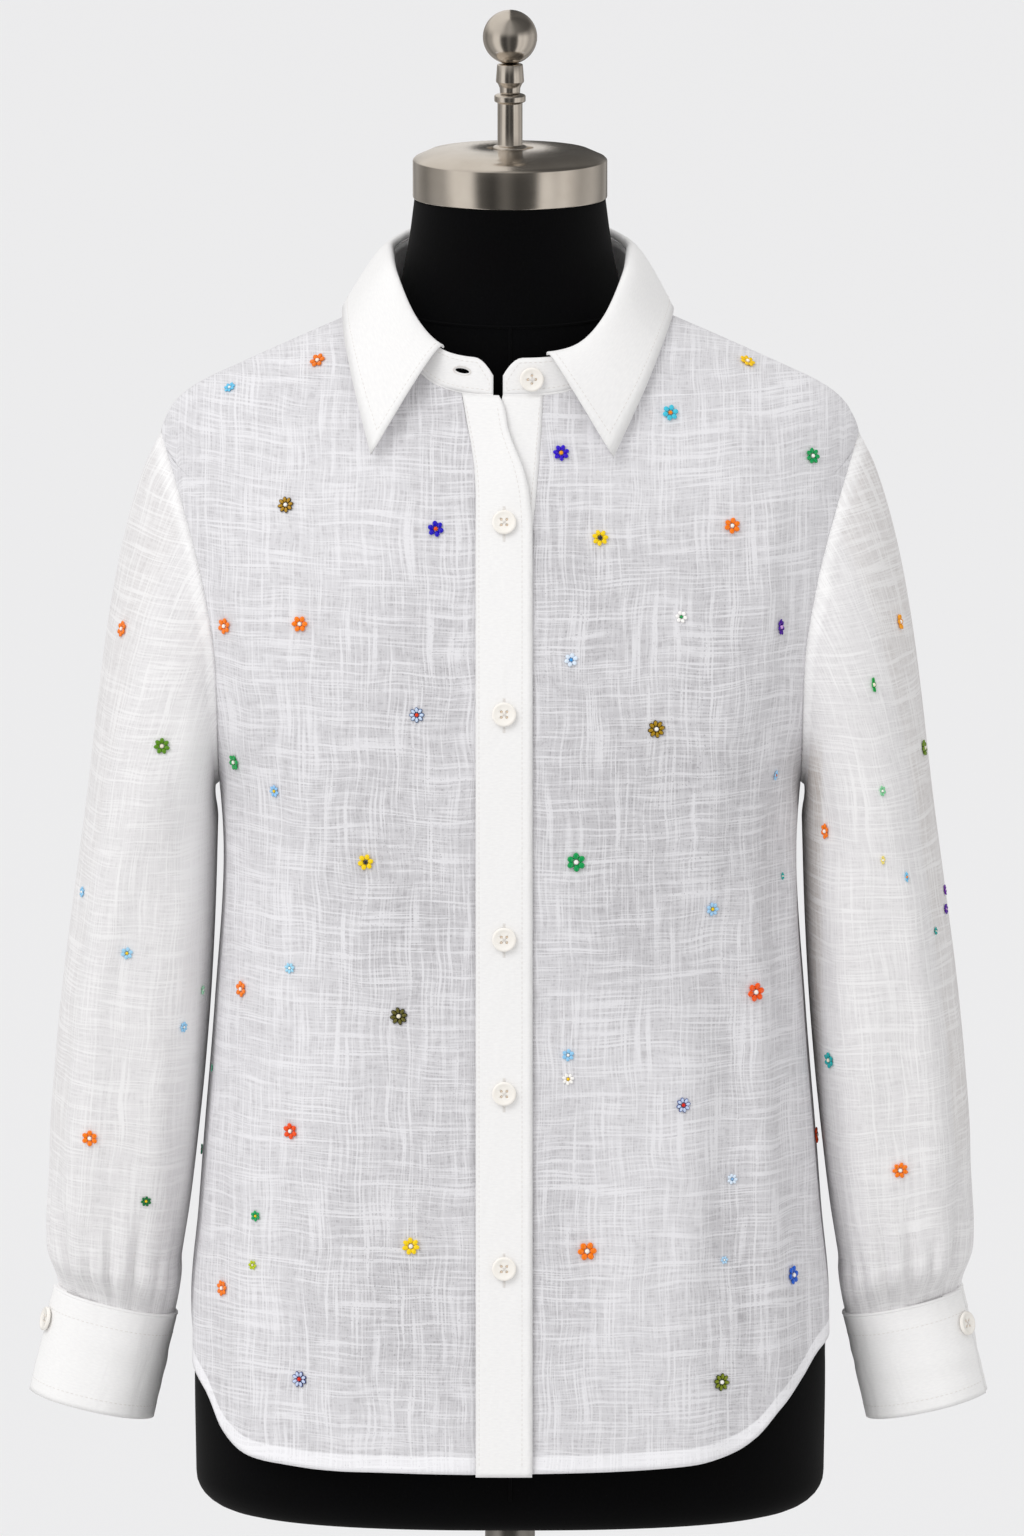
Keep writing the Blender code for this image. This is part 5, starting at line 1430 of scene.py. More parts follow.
def sleeve_place(side):
    """The rule that sets a sleeve, from the armhole down to the cuff."""
    ring = armhole_ring()
    top, bottom = SLEEVE[-1].height, SLEEVE[0].height
    rows = SLEEVE_HEAD_ROWS + SLEEVE_LOWER_ROWS + SLEEVE_END_ROWS
    lengths = {}

    def point_at(k, j):
        angle = 2 * math.pi * k / SLEEVE_COLUMNS
        seam = ring[k % SLEEVE_COLUMNS]
        under = (1 - math.cos(angle)) / 2
        front = math.sin(angle)
        away = Vector((math.cos(angle), -math.sin(angle), 0))
        round_it = angle / math.tau * SLEEVE_CUT
        cuff_edge = cuff_point(angle, 0).z
        low_end = bottom + (cuff_edge - CUFF_TOP.z) * 0.9
        if j < SLEEVE_HEAD_ROWS:
            below = sleeve_section(angle, top)
            length = (below - seam).length
            leave = Vector((0.42 + 0.15 * front**2 - 0.17 * under, -0.38 * front, -0.88)).normalized()
            start = seam + leave * SEAM_GAP + Vector((HEAD_STEP + UNDER_STEP * under**2, 0, 0))
            arrive = (sleeve_section(angle, top - 0.02) - below).normalized()
            t = j / SLEEVE_HEAD_ROWS
            # Its first rows are turned in under the armhole seam
            start = seam.lerp(start, min(j / 3, 1.0))
            point = (
                start * (1 + 2 * t) * (1 - t) ** 2
                + leave * length * t * (1 - t) ** 2 * 0.9
                + below * t * t * (3 - 2 * t)
                - arrive * length * t * t * (1 - t) * 0.9
            )
            return point + away * ease(t * 2) * crease_lift(SLEEVE_CREASES, round_it, point.z)
        if j <= SLEEVE_HEAD_ROWS + SLEEVE_LOWER_ROWS:
            t = (j - SLEEVE_HEAD_ROWS) / SLEEVE_LOWER_ROWS
            height = top + (low_end - top) * t
            point = sleeve_section(angle, height)
            lift = gather(angle, height - cuff_edge) + sleeve_folds(angle, height)
            return point + away * (lift + crease_lift(SLEEVE_CREASES, round_it, height))
        # Its end turns in behind the cuff's top edge
        waves = gather(angle, low_end - cuff_edge) + sleeve_folds(angle, low_end)
        low = sleeve_section(angle, low_end) + away * waves
        out, _, down = cuff_frame()
        inward = (cuff_point(angle, 0, 0) - cuff_point(angle, 0, 1)).normalized()
        end = cuff_point(angle, TUCK_DOWN) + inward * (TUCK_IN - gather(angle, 0.0) * 0.25)
        reach = (end - low).length
        leave = (low - sleeve_section(angle, low_end + 0.01) - away * waves).normalized() * reach
        t = (j - SLEEVE_HEAD_ROWS - SLEEVE_LOWER_ROWS) / SLEEVE_END_ROWS
        point = low * (1 + 2 * t) * (1 - t) ** 2 + leave * t * (1 - t) ** 2
        return point + end * t * t * (3 - 2 * t) + down * reach * t * t * (t - 1)

    def column(k):
        if k not in lengths:
            points = [point_at(k, row) for row in range(rows + 1)]
            lengths[k] = points, running(points)
        return lengths[k]

    def place(i, j):
        points, sums = column(i)
        point = points[j]
        # The weft threads lie level below the head
        level = column(SLEEVE_COLUMNS // 4)[1]
        head = sums[SLEEVE_HEAD_ROWS] - sums[min(j, SLEEVE_HEAD_ROWS)]
        down = level[-1] - level[max(j, SLEEVE_HEAD_ROWS)] + head
        degrees = math.degrees(math.tau * i / SLEEVE_COLUMNS)
        # Painted shade beside the body and on the outer edges that turn from the light, mixing in the beige
        # colour behind
        shade = UNDER_SHADE[side] * ease((UNDER_EDGE - point.x) / 0.004) * ease((UNDER_TOP - point.z) / 0.03)
        turned_side = ease((50 - min(degrees, 360 - degrees)) / 9) * ease((point.z - 0.87) / 0.05)
        shade = max(shade, OUTER_SHADE[side] * turned_side)
        doubled = ALLOWANCE_LAYERS * (1 - ease((sums[j] - ALLOWANCE) / 0.002))
        # Painted light beside the body on the wearer's right sleeve, carried in the doubled layers channel
        if side < 0:
            lit = LIT_PAINTED_LIGHT * ease((LIT_EDGE - point.x) / 0.014) * ease((LIT_TOP - point.z) / 0.04)
            doubled = max(doubled, lit)
        u = (i / SLEEVE_COLUMNS if side > 0 else -i / SLEEVE_COLUMNS) * SLEEVE_CUT
        return Vector((side * point.x, point.y, point.z)), (u + 5.0 + side, down), (shade, doubled)

    return place


# The same gauze over itself: a warm white, its open mesh only faintly darker than its threads. Its beige
# colour behind is the painted shade of the sleeves' shaded sides
sleeve_gauze = gauze("slub cotton gauze", "#DCDADB", "#EEECED", "#FAF9F9", "#BDB0A2")
for side, hand in ((-1, "right"), (1, "left")):
    rows = SLEEVE_HEAD_ROWS + SLEEVE_LOWER_ROWS + SLEEVE_END_ROWS
    sleeve = cloth(
        f"gauze_sleeve_{hand}",
        SLEEVE_COLUMNS,
        rows,
        sleeve_place(side),
        sleeve_gauze,
        GAUZE_THICK,
        ring=True,
        outward=Vector((side * 0.23, 0, 1.0)),
    )
    panels[side * 2] = sleeve
    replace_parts(sleeve, f"sleeve_{hand}")

# --- The cuffs --------------------------------------------------------------------------------------
# Straight poplin bands, lined, that close with one button each over their own start.
CUFF_OVERLAP = 26.0
CUFF_LAP_LIFT = 0.0023
CUFF_BUTTON_DROP = 0.020
CUFF_END_PAST_BUTTON = 9.0
# The angle round from the front at which each cuff's button sits
CUFF_BUTTON_ANGLE = {-1: 74.0, 1: 58.0}
CUFF_MIDDLE = 0.77
CUFF_CUT = 0.24
CUFF_WRINKLE = 0.0008
CUFF_COLUMNS = 150
CUFF_ROWS = 22


def cuff_start(side):
    """The angle, from the outer side, at which the cuff's top layer ends: just past its button."""
    return math.radians(90 - CUFF_BUTTON_ANGLE[side] - CUFF_END_PAST_BUTTON)


def cuff_place(side):
    """The rule that sets a cuff: it starts under the lap, goes once round and ends over its start."""
    start = cuff_start(side)
    lap = math.radians(CUFF_OVERLAP)

    def place(i, j):
        share = i / CUFF_COLUMNS
        drop = CUFF_HEIGHT * j / CUFF_ROWS
        angle = start + lap - (2 * math.pi + lap) * share
        lift = CUFF_LAP_LIFT * ease((share - 0.80) / 0.10)
        # Soft wrinkles run round the cuff, and none at its piped edges
        soft = noise.noise(Vector((share * 4.5 + side, drop * 95, side * 3.0)))
        lift += CUFF_WRINKLE * soft * math.sin(math.pi * j / CUFF_ROWS)
        point = cuff_point(angle, drop, lift)
        return Vector((side * point.x, point.y, point.z)), (share * CUFF_CUT, -drop), (0.0, 0.0)

    return place


for side, hand in ((-1, "right"), (1, "left")):
    cuff = cloth(
        f"poplin_cuff_{hand}",
        CUFF_COLUMNS,
        CUFF_ROWS,
        cuff_place(side),
        white_poplin,
        POPLIN_THICK,
        outward=Vector((side * CUFF_TOP.x, 0, CUFF_MIDDLE)),
    )
    panels[side * 3] = cuff
    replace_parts(cuff, f"cuff_{hand}")

# --- The buttons ------------------------------------------------------------------------------------
# Small four-hole shirt buttons with a raised rim and a dished middle: five down the front, one on the
# collar stand and one on each cuff. Each is sewn on with thread that crosses between its holes.
BUTTON_RADIUS = 0.00725
BUTTON_THICK = 0.0026
BUTTON_HOLE_SPREAD = 0.0023
BUTTON_HOLE_RADIUS = 0.0008
BUTTON_SEAT = 0.0003
HOLE_THREAD_SIZE = 0.0018
FRONT_BUTTONS = [1.291, 1.179, 1.0445, 0.9515, 0.846]
CENTRE_SHIFT = -0.0035
COLLAR_BUTTON_OUT = 0.0128
COLLAR_BUTTON_SHARE = 0.38

# Moulded polyester: milky, glossy and a little warm, with faint clouds in it
shell, tree, shader = material("moulded pearl polyester", 0.28)
cloud = speckle(tree, add(tree, "TexCoord").outputs["Object"], 260.0)
milk = mix(tree, cloud, "#FFFCF7", "#FAF4EB")
dress(tree, shader, {"Base Color": milk}, {"Coat Weight": 0.4, "Coat Roughness": 0.15})

# Spun polyester thread: softly shiny, a little darker than the cloth so that each stitch reads
thread, tree, shader = material("spun polyester thread", 0.6)
twist = speckle(tree, add(tree, "TexCoord").outputs["Object"], 2500.0)
dress(tree, shader, {"Base Color": mix(tree, twist, "#F1EEEB", "#DAD5D0")}, {"Sheen Weight": 0.2})

# The same thread in the warm white that the buttons are sewn on with, seen down in their holes
ecru, tree, shader = material("ecru spun polyester thread", 0.6)
dress(tree, shader, {}, {"Base Color": linear("#EBD6BE")})


def pour(part, whole):
    """Adds a finished small bmesh to a larger one."""
    scratch = bpy.data.meshes.new("scratch")
    part.to_mesh(scratch)
    part.free()
    whole.from_mesh(scratch)
    bpy.data.meshes.remove(scratch)


def stitch(bm, point, along, out, length, width=0.00045, proud=0.0002):
    """One stitch: a small smooth bead of thread, laid along the cloth."""
    along, out = along.normalized(), out.normalized()
    side = out.cross(along).normalized()
    size = Matrix.Diagonal((length / 2, width / 2, width / 2, 1))
    matrix = placed(along, side, along.cross(side), point + out * proud) @ size
    bmesh.ops.create_icosphere(bm, subdivisions=1, radius=1.0, matrix=matrix)


def button_blank():
    """A button lying at the origin with its face up: turned, with its edges eased and four holes."""
    r, t = BUTTON_RADIUS, BUTTON_THICK
    profile = [(0, 0), (0.80 * r, 0), (0.93 * r, 0.15 * t), (0.99 * r, 0.40 * t), (r, 0.55 * t)]
    profile += [(0.99 * r, 0.75 * t), (0.94 * r, 0.93 * t), (0.87 * r, t), (0.80 * r, 0.97 * t)]
    profile += [(0.72 * r, 0.86 * t), (0.60 * r, 0.76 * t), (0.40 * r, 0.72 * t), (0, 0.71 * t)]
    blank = piece("button_blank", lathe(profile, 40, SAME_PLACE / 10), shell)
    drills = bmesh.new()
    for quarter in range(4):
        angle = math.pi / 4 + quarter * math.pi / 2
        at = Matrix.Translation(Vector((math.cos(angle), math.sin(angle), 0)) * BUTTON_HOLE_SPREAD)
        bore = {"radius1": BUTTON_HOLE_RADIUS, "radius2": BUTTON_HOLE_RADIUS, "depth": 4 * t}
        bmesh.ops.create_cone(drills, cap_ends=True, segments=12, matrix=at, **bore)
    bmesh.ops.recalc_face_normals(drills, faces=drills.faces)
    mesh = cut_out(blank, piece("button_drill", drills, shell))
    bpy.data.objects.remove(blank)
    return mesh


BLANK = button_blank()
CROSSING = bmesh.new()
HOLE_THREAD = bmesh.new()


def sew_button(node, point, outward, turn=0.0, heavy=0.00045):
    """Sets a button on the cloth, its face outward, and sews thread down and across its holes."""
    z = outward.normalized()
    level = Vector((0, 0, 1)).cross(z).normalized()
    x = Matrix.Rotation(turn, 3, z) @ level
    y = z.cross(x)
    mesh = BLANK.copy()
    mesh.transform(placed(x, y, z, point))
    obj = bpy.data.objects.new(f"shell_{node}", mesh)
    bpy.context.scene.collection.objects.link(obj)
    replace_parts(obj, node)
    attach(obj, "root")
    for along in (x + y, x - y):
        face = point + z * BUTTON_THICK * 0.74
        stitch(CROSSING, face, along, z, BUTTON_HOLE_SPREAD * 2.3, width=heavy)
    for across, up in ((1, 1), (1, -1), (-1, 1), (-1, -1)):
        hole = (x * across + y * up).normalized() * BUTTON_HOLE_SPREAD
        deep = point + hole + z * BUTTON_THICK * 0.3
        stitch(HOLE_THREAD, deep, x, z, HOLE_THREAD_SIZE, width=HOLE_THREAD_SIZE)


clear = POPLIN / 2 + BUTTON_SEAT
for number, height in enumerate(FRONT_BUTTONS, 1):
    point = front_surface(CENTRE_SHIFT, height)
    slope = front_surface(CENTRE_SHIFT, height + 0.007) - front_surface(CENTRE_SHIFT, height - 0.007)
    outward = Vector((1, 0, 0)).cross(slope).normalized()
    sew_button(f"front_button_{number}", point + outward * (OVERLAP_LIFT + clear + BUTTON_SEAT), outward)
angle = 360 - neck_angle(COLLAR_BUTTON_OUT)
share = COLLAR_BUTTON_SHARE
ahead = stand_top(angle + 3, share) - stand_top(angle - 3, share)
outward = ahead.cross(stand_top(angle, 0.9) - stand_top(angle, 0.1)).normalized()
outward = outward if outward.y < 0 else -outward
collar_point = stand_top(angle, share) + outward * (clear + BUTTON_SEAT)
sew_button("collar_button", collar_point, outward, turn=math.pi / 4, heavy=0.0009)
for side, hand in ((-1, "right"), (1, "left")):
    angle = math.radians(90 - CUFF_BUTTON_ANGLE[side])
    drop, lift = CUFF_BUTTON_DROP, CUFF_LAP_LIFT
    point = cuff_point(angle, drop, lift)
    ahead = cuff_point(angle + 0.05, drop, lift) - cuff_point(angle - 0.05, drop, lift)
    outward = (cuff_point(angle, drop + 0.005, lift) - point).cross(ahead).normalized()
    outward = outward if outward.x > 0 else -outward
    point += outward * clear
    point.x, outward.x = side * point.x, side * outward.x
    sew_button(f"cuff_button_{hand}", point, outward)
crossing = piece("button_thread", CROSSING, thread)
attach(crossing, "root")
hole_thread = piece("button_hole_thread", HOLE_THREAD, ecru)
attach(hole_thread, "root")

# --- The stitching ----------------------------------------------------------------------------------
# Lock stitches 2.3 mm long along the bands, the collar, the cuffs and the hem, and close bars of
# thread round each buttonhole.
STITCH = 0.0023
STITCH_GAP = 0.0007
# The panels' row along which the hem is sewn, and how far its stitches stand out
HEM_ROW = 3
HEM_PROUD = 0.0004
# The bars of thread round each buttonhole: how many there are each way, and how far apart
BARS = 22
BAR_STEP = 0.00046


def sew(bm, place, route, outward, lift):
    """Sews a row of stitches on a sheet, along a route of places in its grid."""
    fine = 40
    run = []
    for (i, j), (k, m) in zip(route, route[1:]):
        run += [(i + (k - i) * n / fine, j + (m - j) * n / fine) for n in range(fine)]
    run.append(route[-1])
    points = [place(i, j)[0] for i, j in run]
    lengths = running(points)
    at, n = STITCH / 2, 0
    row = bmesh.new()
    while at < lengths[-1]:
        while lengths[n + 1] < at:
            n += 1
        share = (at - lengths[n]) / max(lengths[n + 1] - lengths[n], 1e-9)
        middle = points[n].lerp(points[n + 1], share)
        along = points[n + 1] - points[n]
        i, j = run[n]
        across = place(i + 0.2, j)[0] - place(i - 0.2, j)[0]
        up = place(i, j + 0.2)[0] - place(i, j - 0.2)[0]
        out = across.cross(up).normalized()
        if out.dot(outward(middle)) < 0:
            out = -out
        stitch(row, middle, along, out, STITCH, proud=lift)
        at += STITCH + STITCH_GAP
    pour(row, bm)


def forward(point):
    return Vector((0, -1, 0.1))


def away(point):
    return Vector((point.x, point.y, 0))


def steps(*ends):
    """A route through the given places with a turn at every eighth part of each leg."""
    route = []
    for (i, j), (k, m) in zip(ends, ends[1:]):
        route += [(i + (k - i) * n / 8, j + (m - j) * n / 8) for n in range(8)]
    return route + [ends[-1]]


bm = bmesh.new()
lift = POPLIN_THICK / 2
for rule, column in ((over, 0.6), (over, 8.2), (under, 0.8)):
    sew(bm, rule, steps((column, 2), (column, BAND_ROWS - 2)), forward, lift)
round_stand = [(1.0, 1.2), (1.0, 4.0), (4.0, 6.9), (146.0, 6.9), (149.0, 4.0), (149.0, 1.2)]
for route in (round_stand, [round_stand[0], round_stand[-1]]):
    sew(bm, stand_place, steps(*route), away, lift)
edge = FALL_COLUMNS - 1.2
sew(bm, fall_place, steps((1.2, 9), (1.2, 24.9), (edge, 24.9), (edge, 9)), away, lift)
for side in (-1, 1):
    axis = Vector((side * CUFF_TOP.x, CUFF_TOP.y, 0))
    for row in (4.3, 19.3):
        route = steps((14, row), (CUFF_COLUMNS - 1, row))
        sew(bm, cuff_place(side), route, lambda point: away(point - axis), lift)
topstitch = piece("topstitching", bm, thread)
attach(topstitch, "root")

bm = bmesh.new()
for side in (-1, 1):
    route = steps((0.5, HEM_ROW), (PANEL_COLUMNS, HEM_ROW))
    sew(bm, lambda i, j: front_place(side)(max(i, 0), HEM_ROW), route, forward, HEM_PROUD)
route = steps((0, HEM_ROW), (2 * PANEL_COLUMNS, HEM_ROW))
sew(bm, lambda i, j: back_place(i, HEM_ROW), route, lambda point: Vector((0, 1, 0)), HEM_PROUD)
hem_thread = piece("hem_stitching", bm, thread)
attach(hem_thread, "root")

# Each buttonhole is worked over with close bars of thread; above and below the buttons they show
bm = bmesh.new()
for height in FRONT_BUTTONS:
    for step in range(-BARS, BARS + 1):
        z = height + step * BAR_STEP
        row = (z - HEM_FRONT) / (NECK_FRONT - HEM_FRONT) * BAND_ROWS
        inner, outer = read(BANDS, "right_inner", z), read(BANDS, "right_edge", z)
        at = over((CENTRE_SHIFT - inner) / (outer - inner) * BAND_COLUMNS, row)[0]
        stitch(bm, at, Vector((1, 0, 0)), Vector((0, -1, 0)), 0.0024, width=0.0004, proud=lift)
for step in range(40):
    angle = 2 * math.pi * step / 40
    ahead = hole_x * math.cos(angle) * HOLE.x * 0.60 + hole_z * math.sin(angle) * HOLE.z * 0.85
    out = -hole_y if hole_y.y > 0 else hole_y
    stitch(bm, hole_middle + ahead, ahead, out, 0.0014, width=0.0005, proud=lift)
bars = piece("buttonhole_thread", bm, thread)
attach(bars, "root")

# The cuffs' top edges and the stand's seam are piped with a rolled edge of the same poplin
bm = bmesh.new()
for side in (-1, 1):
    run = [cuff_place(side)(k, 0.15)[0] for k in range(0, CUFF_COLUMNS + 1, 2)]
    cord_along(bm, run, 0.00105, sides=8)
run = [stand_place(k, 0.0)[0] for k in range(0, STAND_COLUMNS + 1, 2)]
cord_along(bm, run, 0.00085, sides=8)
piping = piece("poplin_piping", bm, white_poplin)
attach(piping, "root")

# --- The bead flowers -------------------------------------------------------------------------------
# Flowers of long glass beads round a small round one, each about 8 to 10 mm across and sewn down by
# hand, scattered all over the gauze. Those in front are placed as the camera sees them.
# Each stands right and down from the frame's top left corner, narrow where it is seen from one side
Flower = namedtuple("Flower", "right down petals centre size edge narrow", defaults=(12.0, None, 1.0))
FLOWERS = [
    Flower(318, 361, "#E8761C", "#F4EDE0"),
    Flower(230, 388, "#7CC4E4", "#F2F2EC", 9),
    Flower(286, 505, "#B08A42", "#F1EFEA", 12, "#43341A"),
    Flower(436, 529, "#2A20B8", "#E9603C"),
    Flower(300, 624, "#F47B12", "#F3EFE8"),
    Flower(225, 626, "#F07A1A", "#F3EFE8"),
    Flower(417, 715, "#C9D8EC", "#E2462C", 11, "#33507E"),
    Flower(235, 762, "#149A4B", "#F3EFE8"),
    Flower(275, 791, "#9CC6EA", "#F0C93A", 9),
    Flower(366, 862, "#F2CF12", "#2B2B2E"),
    Flower(290, 968, "#A8D6EC", "#F2F2EC", 8),
    Flower(242, 989, "#F07A1A", "#F3EFE8"),
    Flower(399, 1016, "#5E5A2A", "#E9E3D0", 13, "#2A2812"),
    Flower(213, 1068, "#5AAE8E", "#E9E3D0", 6),
    Flower(291, 1131, "#E8552C", "#F3EFE8"),
    Flower(203, 1149, "#2E9E72", "#E9E3D0", 8),
    Flower(256, 1216, "#1F9E5E", "#F0D23A", 8),
    Flower(411, 1246, "#F2CF12", "#F3EFE8", 13),
    Flower(253, 1265, "#B7C63A", "#E9E3D0", 7),
    Flower(223, 1288, "#F27A16", "#F3EFE8"),
    Flower(300, 1379, "#C3CFE8", "#D8352A", 12, "#262C66"),
    Flower(747, 362, "#F0C420", "#F3EFE8"),
    Flower(670, 413, "#62C4DA", "#F08A34"),
    Flower(561, 453, "#3A22C4", "#F2A23A"),
    Flower(812, 456, "#1E9A55", "#F3F1EC"),
    Flower(732, 526, "#F27A16", "#F3EFE8"),
    Flower(600, 538, "#F2CF12", "#2B2B2E"),
    Flower(681, 617, "#F6F4F2", "#149A4B", 9),
    Flower(780, 627, "#4A1F8E", "#C9A0D8", narrow=0.50),
    Flower(571, 660, "#DDE8F4", "#5C9FDC", 10),
    Flower(656, 729, "#A58430", "#F1EFEA", 13, "#4A3A16"),
    Flower(775, 775, "#A6CDEB", "#D86A3A", 8, narrow=0.50),
    Flower(576, 862, "#0F9A50", "#F3F1EC", 14),
    Flower(782, 876, "#2AA6A0", "#E9E3D0", 6, narrow=0.45),
    Flower(712, 909, "#A9CDE9", "#F0C93A", 10),
    Flower(755, 992, "#EF5A1E", "#F3EFE8", 14),
    Flower(568, 1055, "#9CCBEA", "#F3F1EC", 9),
    Flower(568, 1079, "#F3F1EE", "#F0C420", 9),
    Flower(683, 1105, "#C5D2EA", "#D8352A", 11, "#3A4A86"),
    Flower(815, 1135, "#EA4E1E", "#F3EFE8"),
    Flower(732, 1179, "#D8E4F0", "#8FB6DC", 8),
    Flower(587, 1251, "#F47B12", "#F3EFE8", 14),
    Flower(724, 1260, "#B4D4EC", "#F3F1EC", 6),
    Flower(792, 1275, "#1D5CC8", "#F3F1EC", 14),
    Flower(721, 1382, "#76822E", "#F3F1EC", 13, "#3A4216"),
    Flower(123, 629, "#F27A16", "#F3EFE8"),
    Flower(162, 746, "#5E8A34", "#E9E3D0"),
    Flower(83, 892, "#9CCBEA", "#F3F1EC", 8),
    Flower(127, 953, "#A9D3EC", "#F0C93A", 9),
    Flower(202, 990, "#A6D8B8", "#F3F1EC", 7),
    Flower(183, 1027, "#9CCBEA", "#F3F1EC", 8),
    Flower(90, 1138, "#F47B12", "#F3EFE8"),
    Flower(146, 1201, "#1F6E3A", "#F0D23A", 8),
    Flower(899, 622, "#F2A01E", "#F3EFE8", narrow=0.60),
    Flower(873, 685, "#2E9E4E", "#E9E3D0", narrow=0.28),
    Flower(923, 748, "#6E8A34", "#E9E3D0"),
    Flower(882, 791, "#8CCB9E", "#F3F1EC", 8, narrow=0.65),
    Flower(826, 831, "#F27A16", "#F3EFE8", narrow=0.65),
    Flower(883, 860, "#F0E08A", "#F3F1EC", 7, narrow=0.45),
    Flower(906, 877, "#8CC8E6", "#F08A34", 8, narrow=0.40),
    Flower(944, 890, "#6A2A9E", "#C9A0D8", 8),
    Flower(945, 909, "#5A2A9E", "#C9A0D8", 8),
    Flower(935, 931, "#2AA6A0", "#E9E3D0", 6),
    Flower(830, 1060, "#1E9EA0", "#E9E3D0"),
    Flower(900, 1170, "#F47B12", "#F3EFE8"),
]
IMAGE = (1024, 1536)
# How wide a flower is for its size in the list, in metres
FLOWER_SCALE = 0.00082
# A petal's shape, as shares of the flower's width: how far out it lies, how high, and its tip's lift
PETAL_LENGTH = 0.38
PETAL_WIDTH = 0.31
PETAL_HEIGHT = 0.17
PETAL_OUT = 0.32
PETAL_UP = 0.06
PETAL_TIP = 0.16
# More petals are narrower ones
PETAL_CROWD = 7.4
# The middle bead's size, how high it lies and how flat it is
CENTRE_SIZE, CENTRE_UP, CENTRE_FLAT = 0.13, 0.12, 0.8
HIDDEN_SPACING = 0.046
# Tries for the hidden flowers, from behind and from beside
TRIES_BEHIND, TRIES_BESIDE = 900, 300
# How squarely the cloth must face the line that finds it, and how far it must turn from the camera
FACING, TURNED_AWAY = 0.35, 0.45
# How far round a hidden flower the cloth must be hidden too
FLOWER_REACH = 0.008

# Pressed glass: clear strong colour under a glossy skin
glass, tree, shader = material("pressed glass beads", 0.22)
dye = add(tree, "Attribute", {"attribute_name": "glass"})
depth = speckle(tree, add(tree, "TexCoord").outputs["Object"], 900.0, 1.0)
shade = add(tree, "MapRange", values={"To Min": 0.80, "To Max": 1.05}, links={"Value": depth})
tint = mix(tree, 1.0, dye.outputs["Color"], shade.outputs["Result"], "MULTIPLY")
bright = add(tree, "HueSaturation", values={"Saturation": 1.12, "Value": 1.22}, links={"Color": tint})
dress(
    tree,
    shader,
    {"Base Color": bright.outputs["Color"]},
    {"Coat Weight": 0.5, "Coat Roughness": 0.08},
)

chance = random.Random(41)


def sew_flower(whole, point, normal, flower):
    """Sews one flower down: long beads in a ring, tipped up a little, and a round one in the middle."""
    z = normal.normalized()
    x = Vector((0, 0, 1)).cross(z)
    x = x.normalized() if x.length > 0.1 else Vector((1, 0, 0))
    y = z.cross(x)
    bm = bmesh.new()
    dye = bm.verts.layers.float_color.new("glass")
    across = flower.size * FLOWER_SCALE
    # Beside a fold a flower is seen narrowed
    squash = placed(x, y, z, point)
    squash = squash @ Matrix.Diagonal((flower.narrow, 1, 1, 1)) @ squash.inverted()
    count = 8 if flower.edge else chance.choice((6, 6, 7))
    first = chance.random()
    for number in range(count):
        angle = 2 * math.pi * (number + first + chance.uniform(-0.06, 0.06)) / count
        out = x * math.cos(angle) + y * math.sin(angle)
        side = z.cross(out)
        layers = ((flower.petals, 1.0, 0.35),)
        if flower.edge:
            layers = ((flower.edge, 1.08, 0.10), (flower.petals, 0.84, 0.45))
        for colour, grow, high in layers:
            length = across * PETAL_LENGTH * grow
            width = across * PETAL_WIDTH * grow * PETAL_CROWD / (count + 1)
            middle = point + out * across * PETAL_OUT + z * (across * PETAL_UP + high * 0.001)
            size = Matrix.Diagonal((length / 2, width / 2, across * PETAL_HEIGHT / 2, 1))
            tip = (out + z * PETAL_TIP).normalized()
            matrix = squash @ placed(tip, side, tip.cross(side), middle) @ size
            verts = bmesh.ops.create_icosphere(bm, subdivisions=2, radius=1.0, matrix=matrix)["verts"]
            for vert in verts:
                vert[dye] = linear(colour)
    size = across * CENTRE_SIZE
    ball = Matrix.Diagonal((size, size, size * CENTRE_FLAT, 1))
    matrix = placed(x, y, z, point + z * across * CENTRE_UP) @ ball
    for vert in bmesh.ops.create_icosphere(bm, subdivisions=2, radius=1.0, matrix=matrix)["verts"]:
        vert[dye] = linear(flower.centre)
    pour(bm, whole)


bpy.context.view_layer.update()
graph = bpy.context.evaluated_depsgraph_get()
CARRIERS = {
    "front_right": panels[-1],
    "front_left": panels[1],
    "back": panels[0],
    "sleeve_right": panels[-2],
    "sleeve_left": panels[2],
}
BLOCKERS = [panels[-3], panels[3], fall, stand, bands["button"], bands["buttonhole"], dress_form]
trees = {name: BVHTree.FromObject(obj, graph) for name, obj in CARRIERS.items()}
walls = [BVHTree.FromObject(obj, graph) for obj in BLOCKERS]
sewn = {name: bmesh.new() for name in CARRIERS}
taken = []


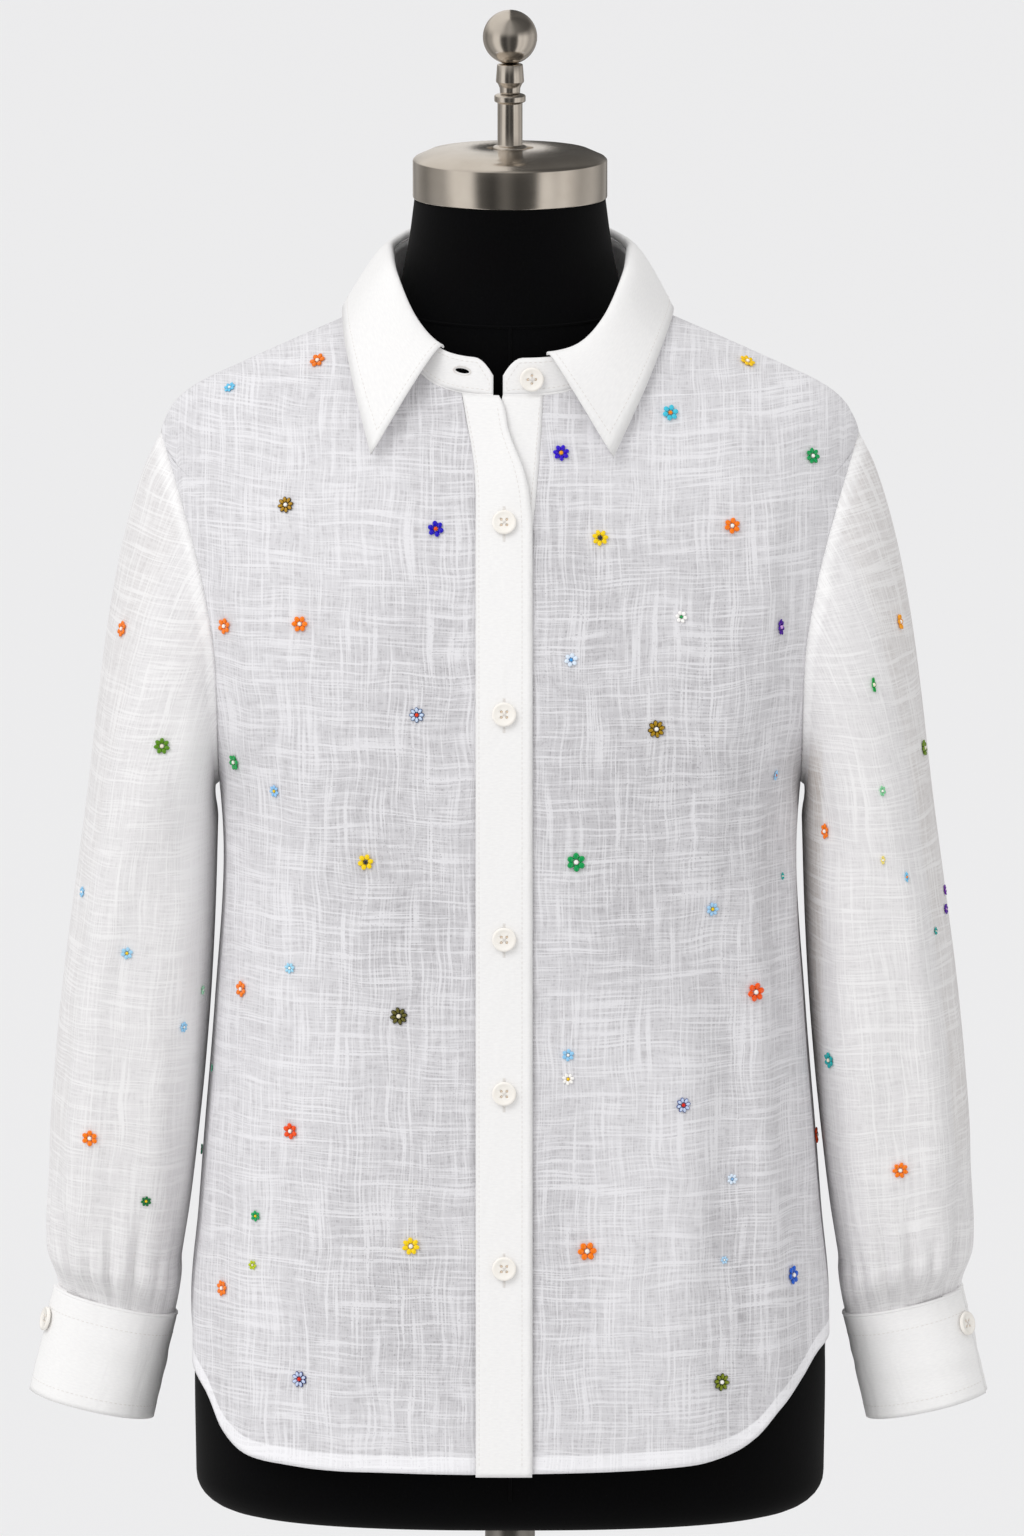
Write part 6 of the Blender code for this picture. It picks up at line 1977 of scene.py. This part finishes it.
def find_cloth(start, way):
    """The first carrier that a straight line meets, with the place, unless something hides it."""
    best = None
    for name, bvh in trees.items():
        place, normal, _, distance = bvh.ray_cast(start, way)
        if place is not None and (best is None or distance < best[3]):
            best = name, place, normal if normal.dot(way) < 0 else -normal, distance
    for bvh in walls:
        place, _, _, distance = bvh.ray_cast(start, way)
        if best is not None and place is not None and distance < best[3]:
            return None
    return best


up = Vector((0, math.sin(CAMERA_RISE), math.cos(CAMERA_RISE)))
pixel = VIEW_HEIGHT / IMAGE[1]
for flower in FLOWERS:
    aim = CAMERA_TARGET + Vector((1, 0, 0)) * (flower.right - IMAGE[0] / 2) * pixel
    aim += up * (IMAGE[1] / 2 - flower.down) * pixel
    found = find_cloth(camera.location, (aim - camera.location).normalized())
    if found is None:
        continue
    name, place, normal, _ = found
    sew_flower(sewn[name], place, normal, flower)
    taken.append(place)

# The hidden sides carry the same scatter: from behind, and from beside each sleeve
looks = []
for _ in range(TRIES_BEHIND):
    start = Vector((chance.uniform(-0.29, 0.29), 1.0, chance.uniform(0.74, 1.38)))
    looks.append((start, Vector((0, -1, 0))))
for _ in range(TRIES_BESIDE):
    side = chance.choice((-1, 1))
    start = Vector((side, chance.uniform(-0.05, 0.09), chance.uniform(0.84, 1.31)))
    looks.append((start, Vector((-side, 0, 0))))
for start, way in looks:
    found = find_cloth(start, way)
    if found is None or min((found[1] - other).length for other in taken) < HIDDEN_SPACING:
        continue
    name, place, normal, _ = found
    if normal.dot(-way) < FACING:
        continue
    # The camera sees only the flowers listed above
    sight = place - camera.location
    seen = find_cloth(camera.location, sight.normalized())
    if normal.dot(sight) < TURNED_AWAY * sight.length:
        continue
    if seen and (seen[1] - place).length < HIDDEN_SPACING / 4:
        continue
    r = FLOWER_REACH
    spots = [place + Vector((x, 0, z)) for x, z in ((r, 0), (-r, 0), (0, r), (0, -r))]
    if any(find_cloth(camera.location, (spot - camera.location).normalized()) is None for spot in spots):
        continue
    model = chance.choice(FLOWERS)
    sew_flower(sewn[name], place, normal, model)
    taken.append(place)
for name, bm in sewn.items():
    flowers = piece(f"bead_flowers_{name}", bm, glass)
    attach(flowers, "root")

# --- The end ----------------------------------------------------------------------------------------
bpy.context.view_layer.update()
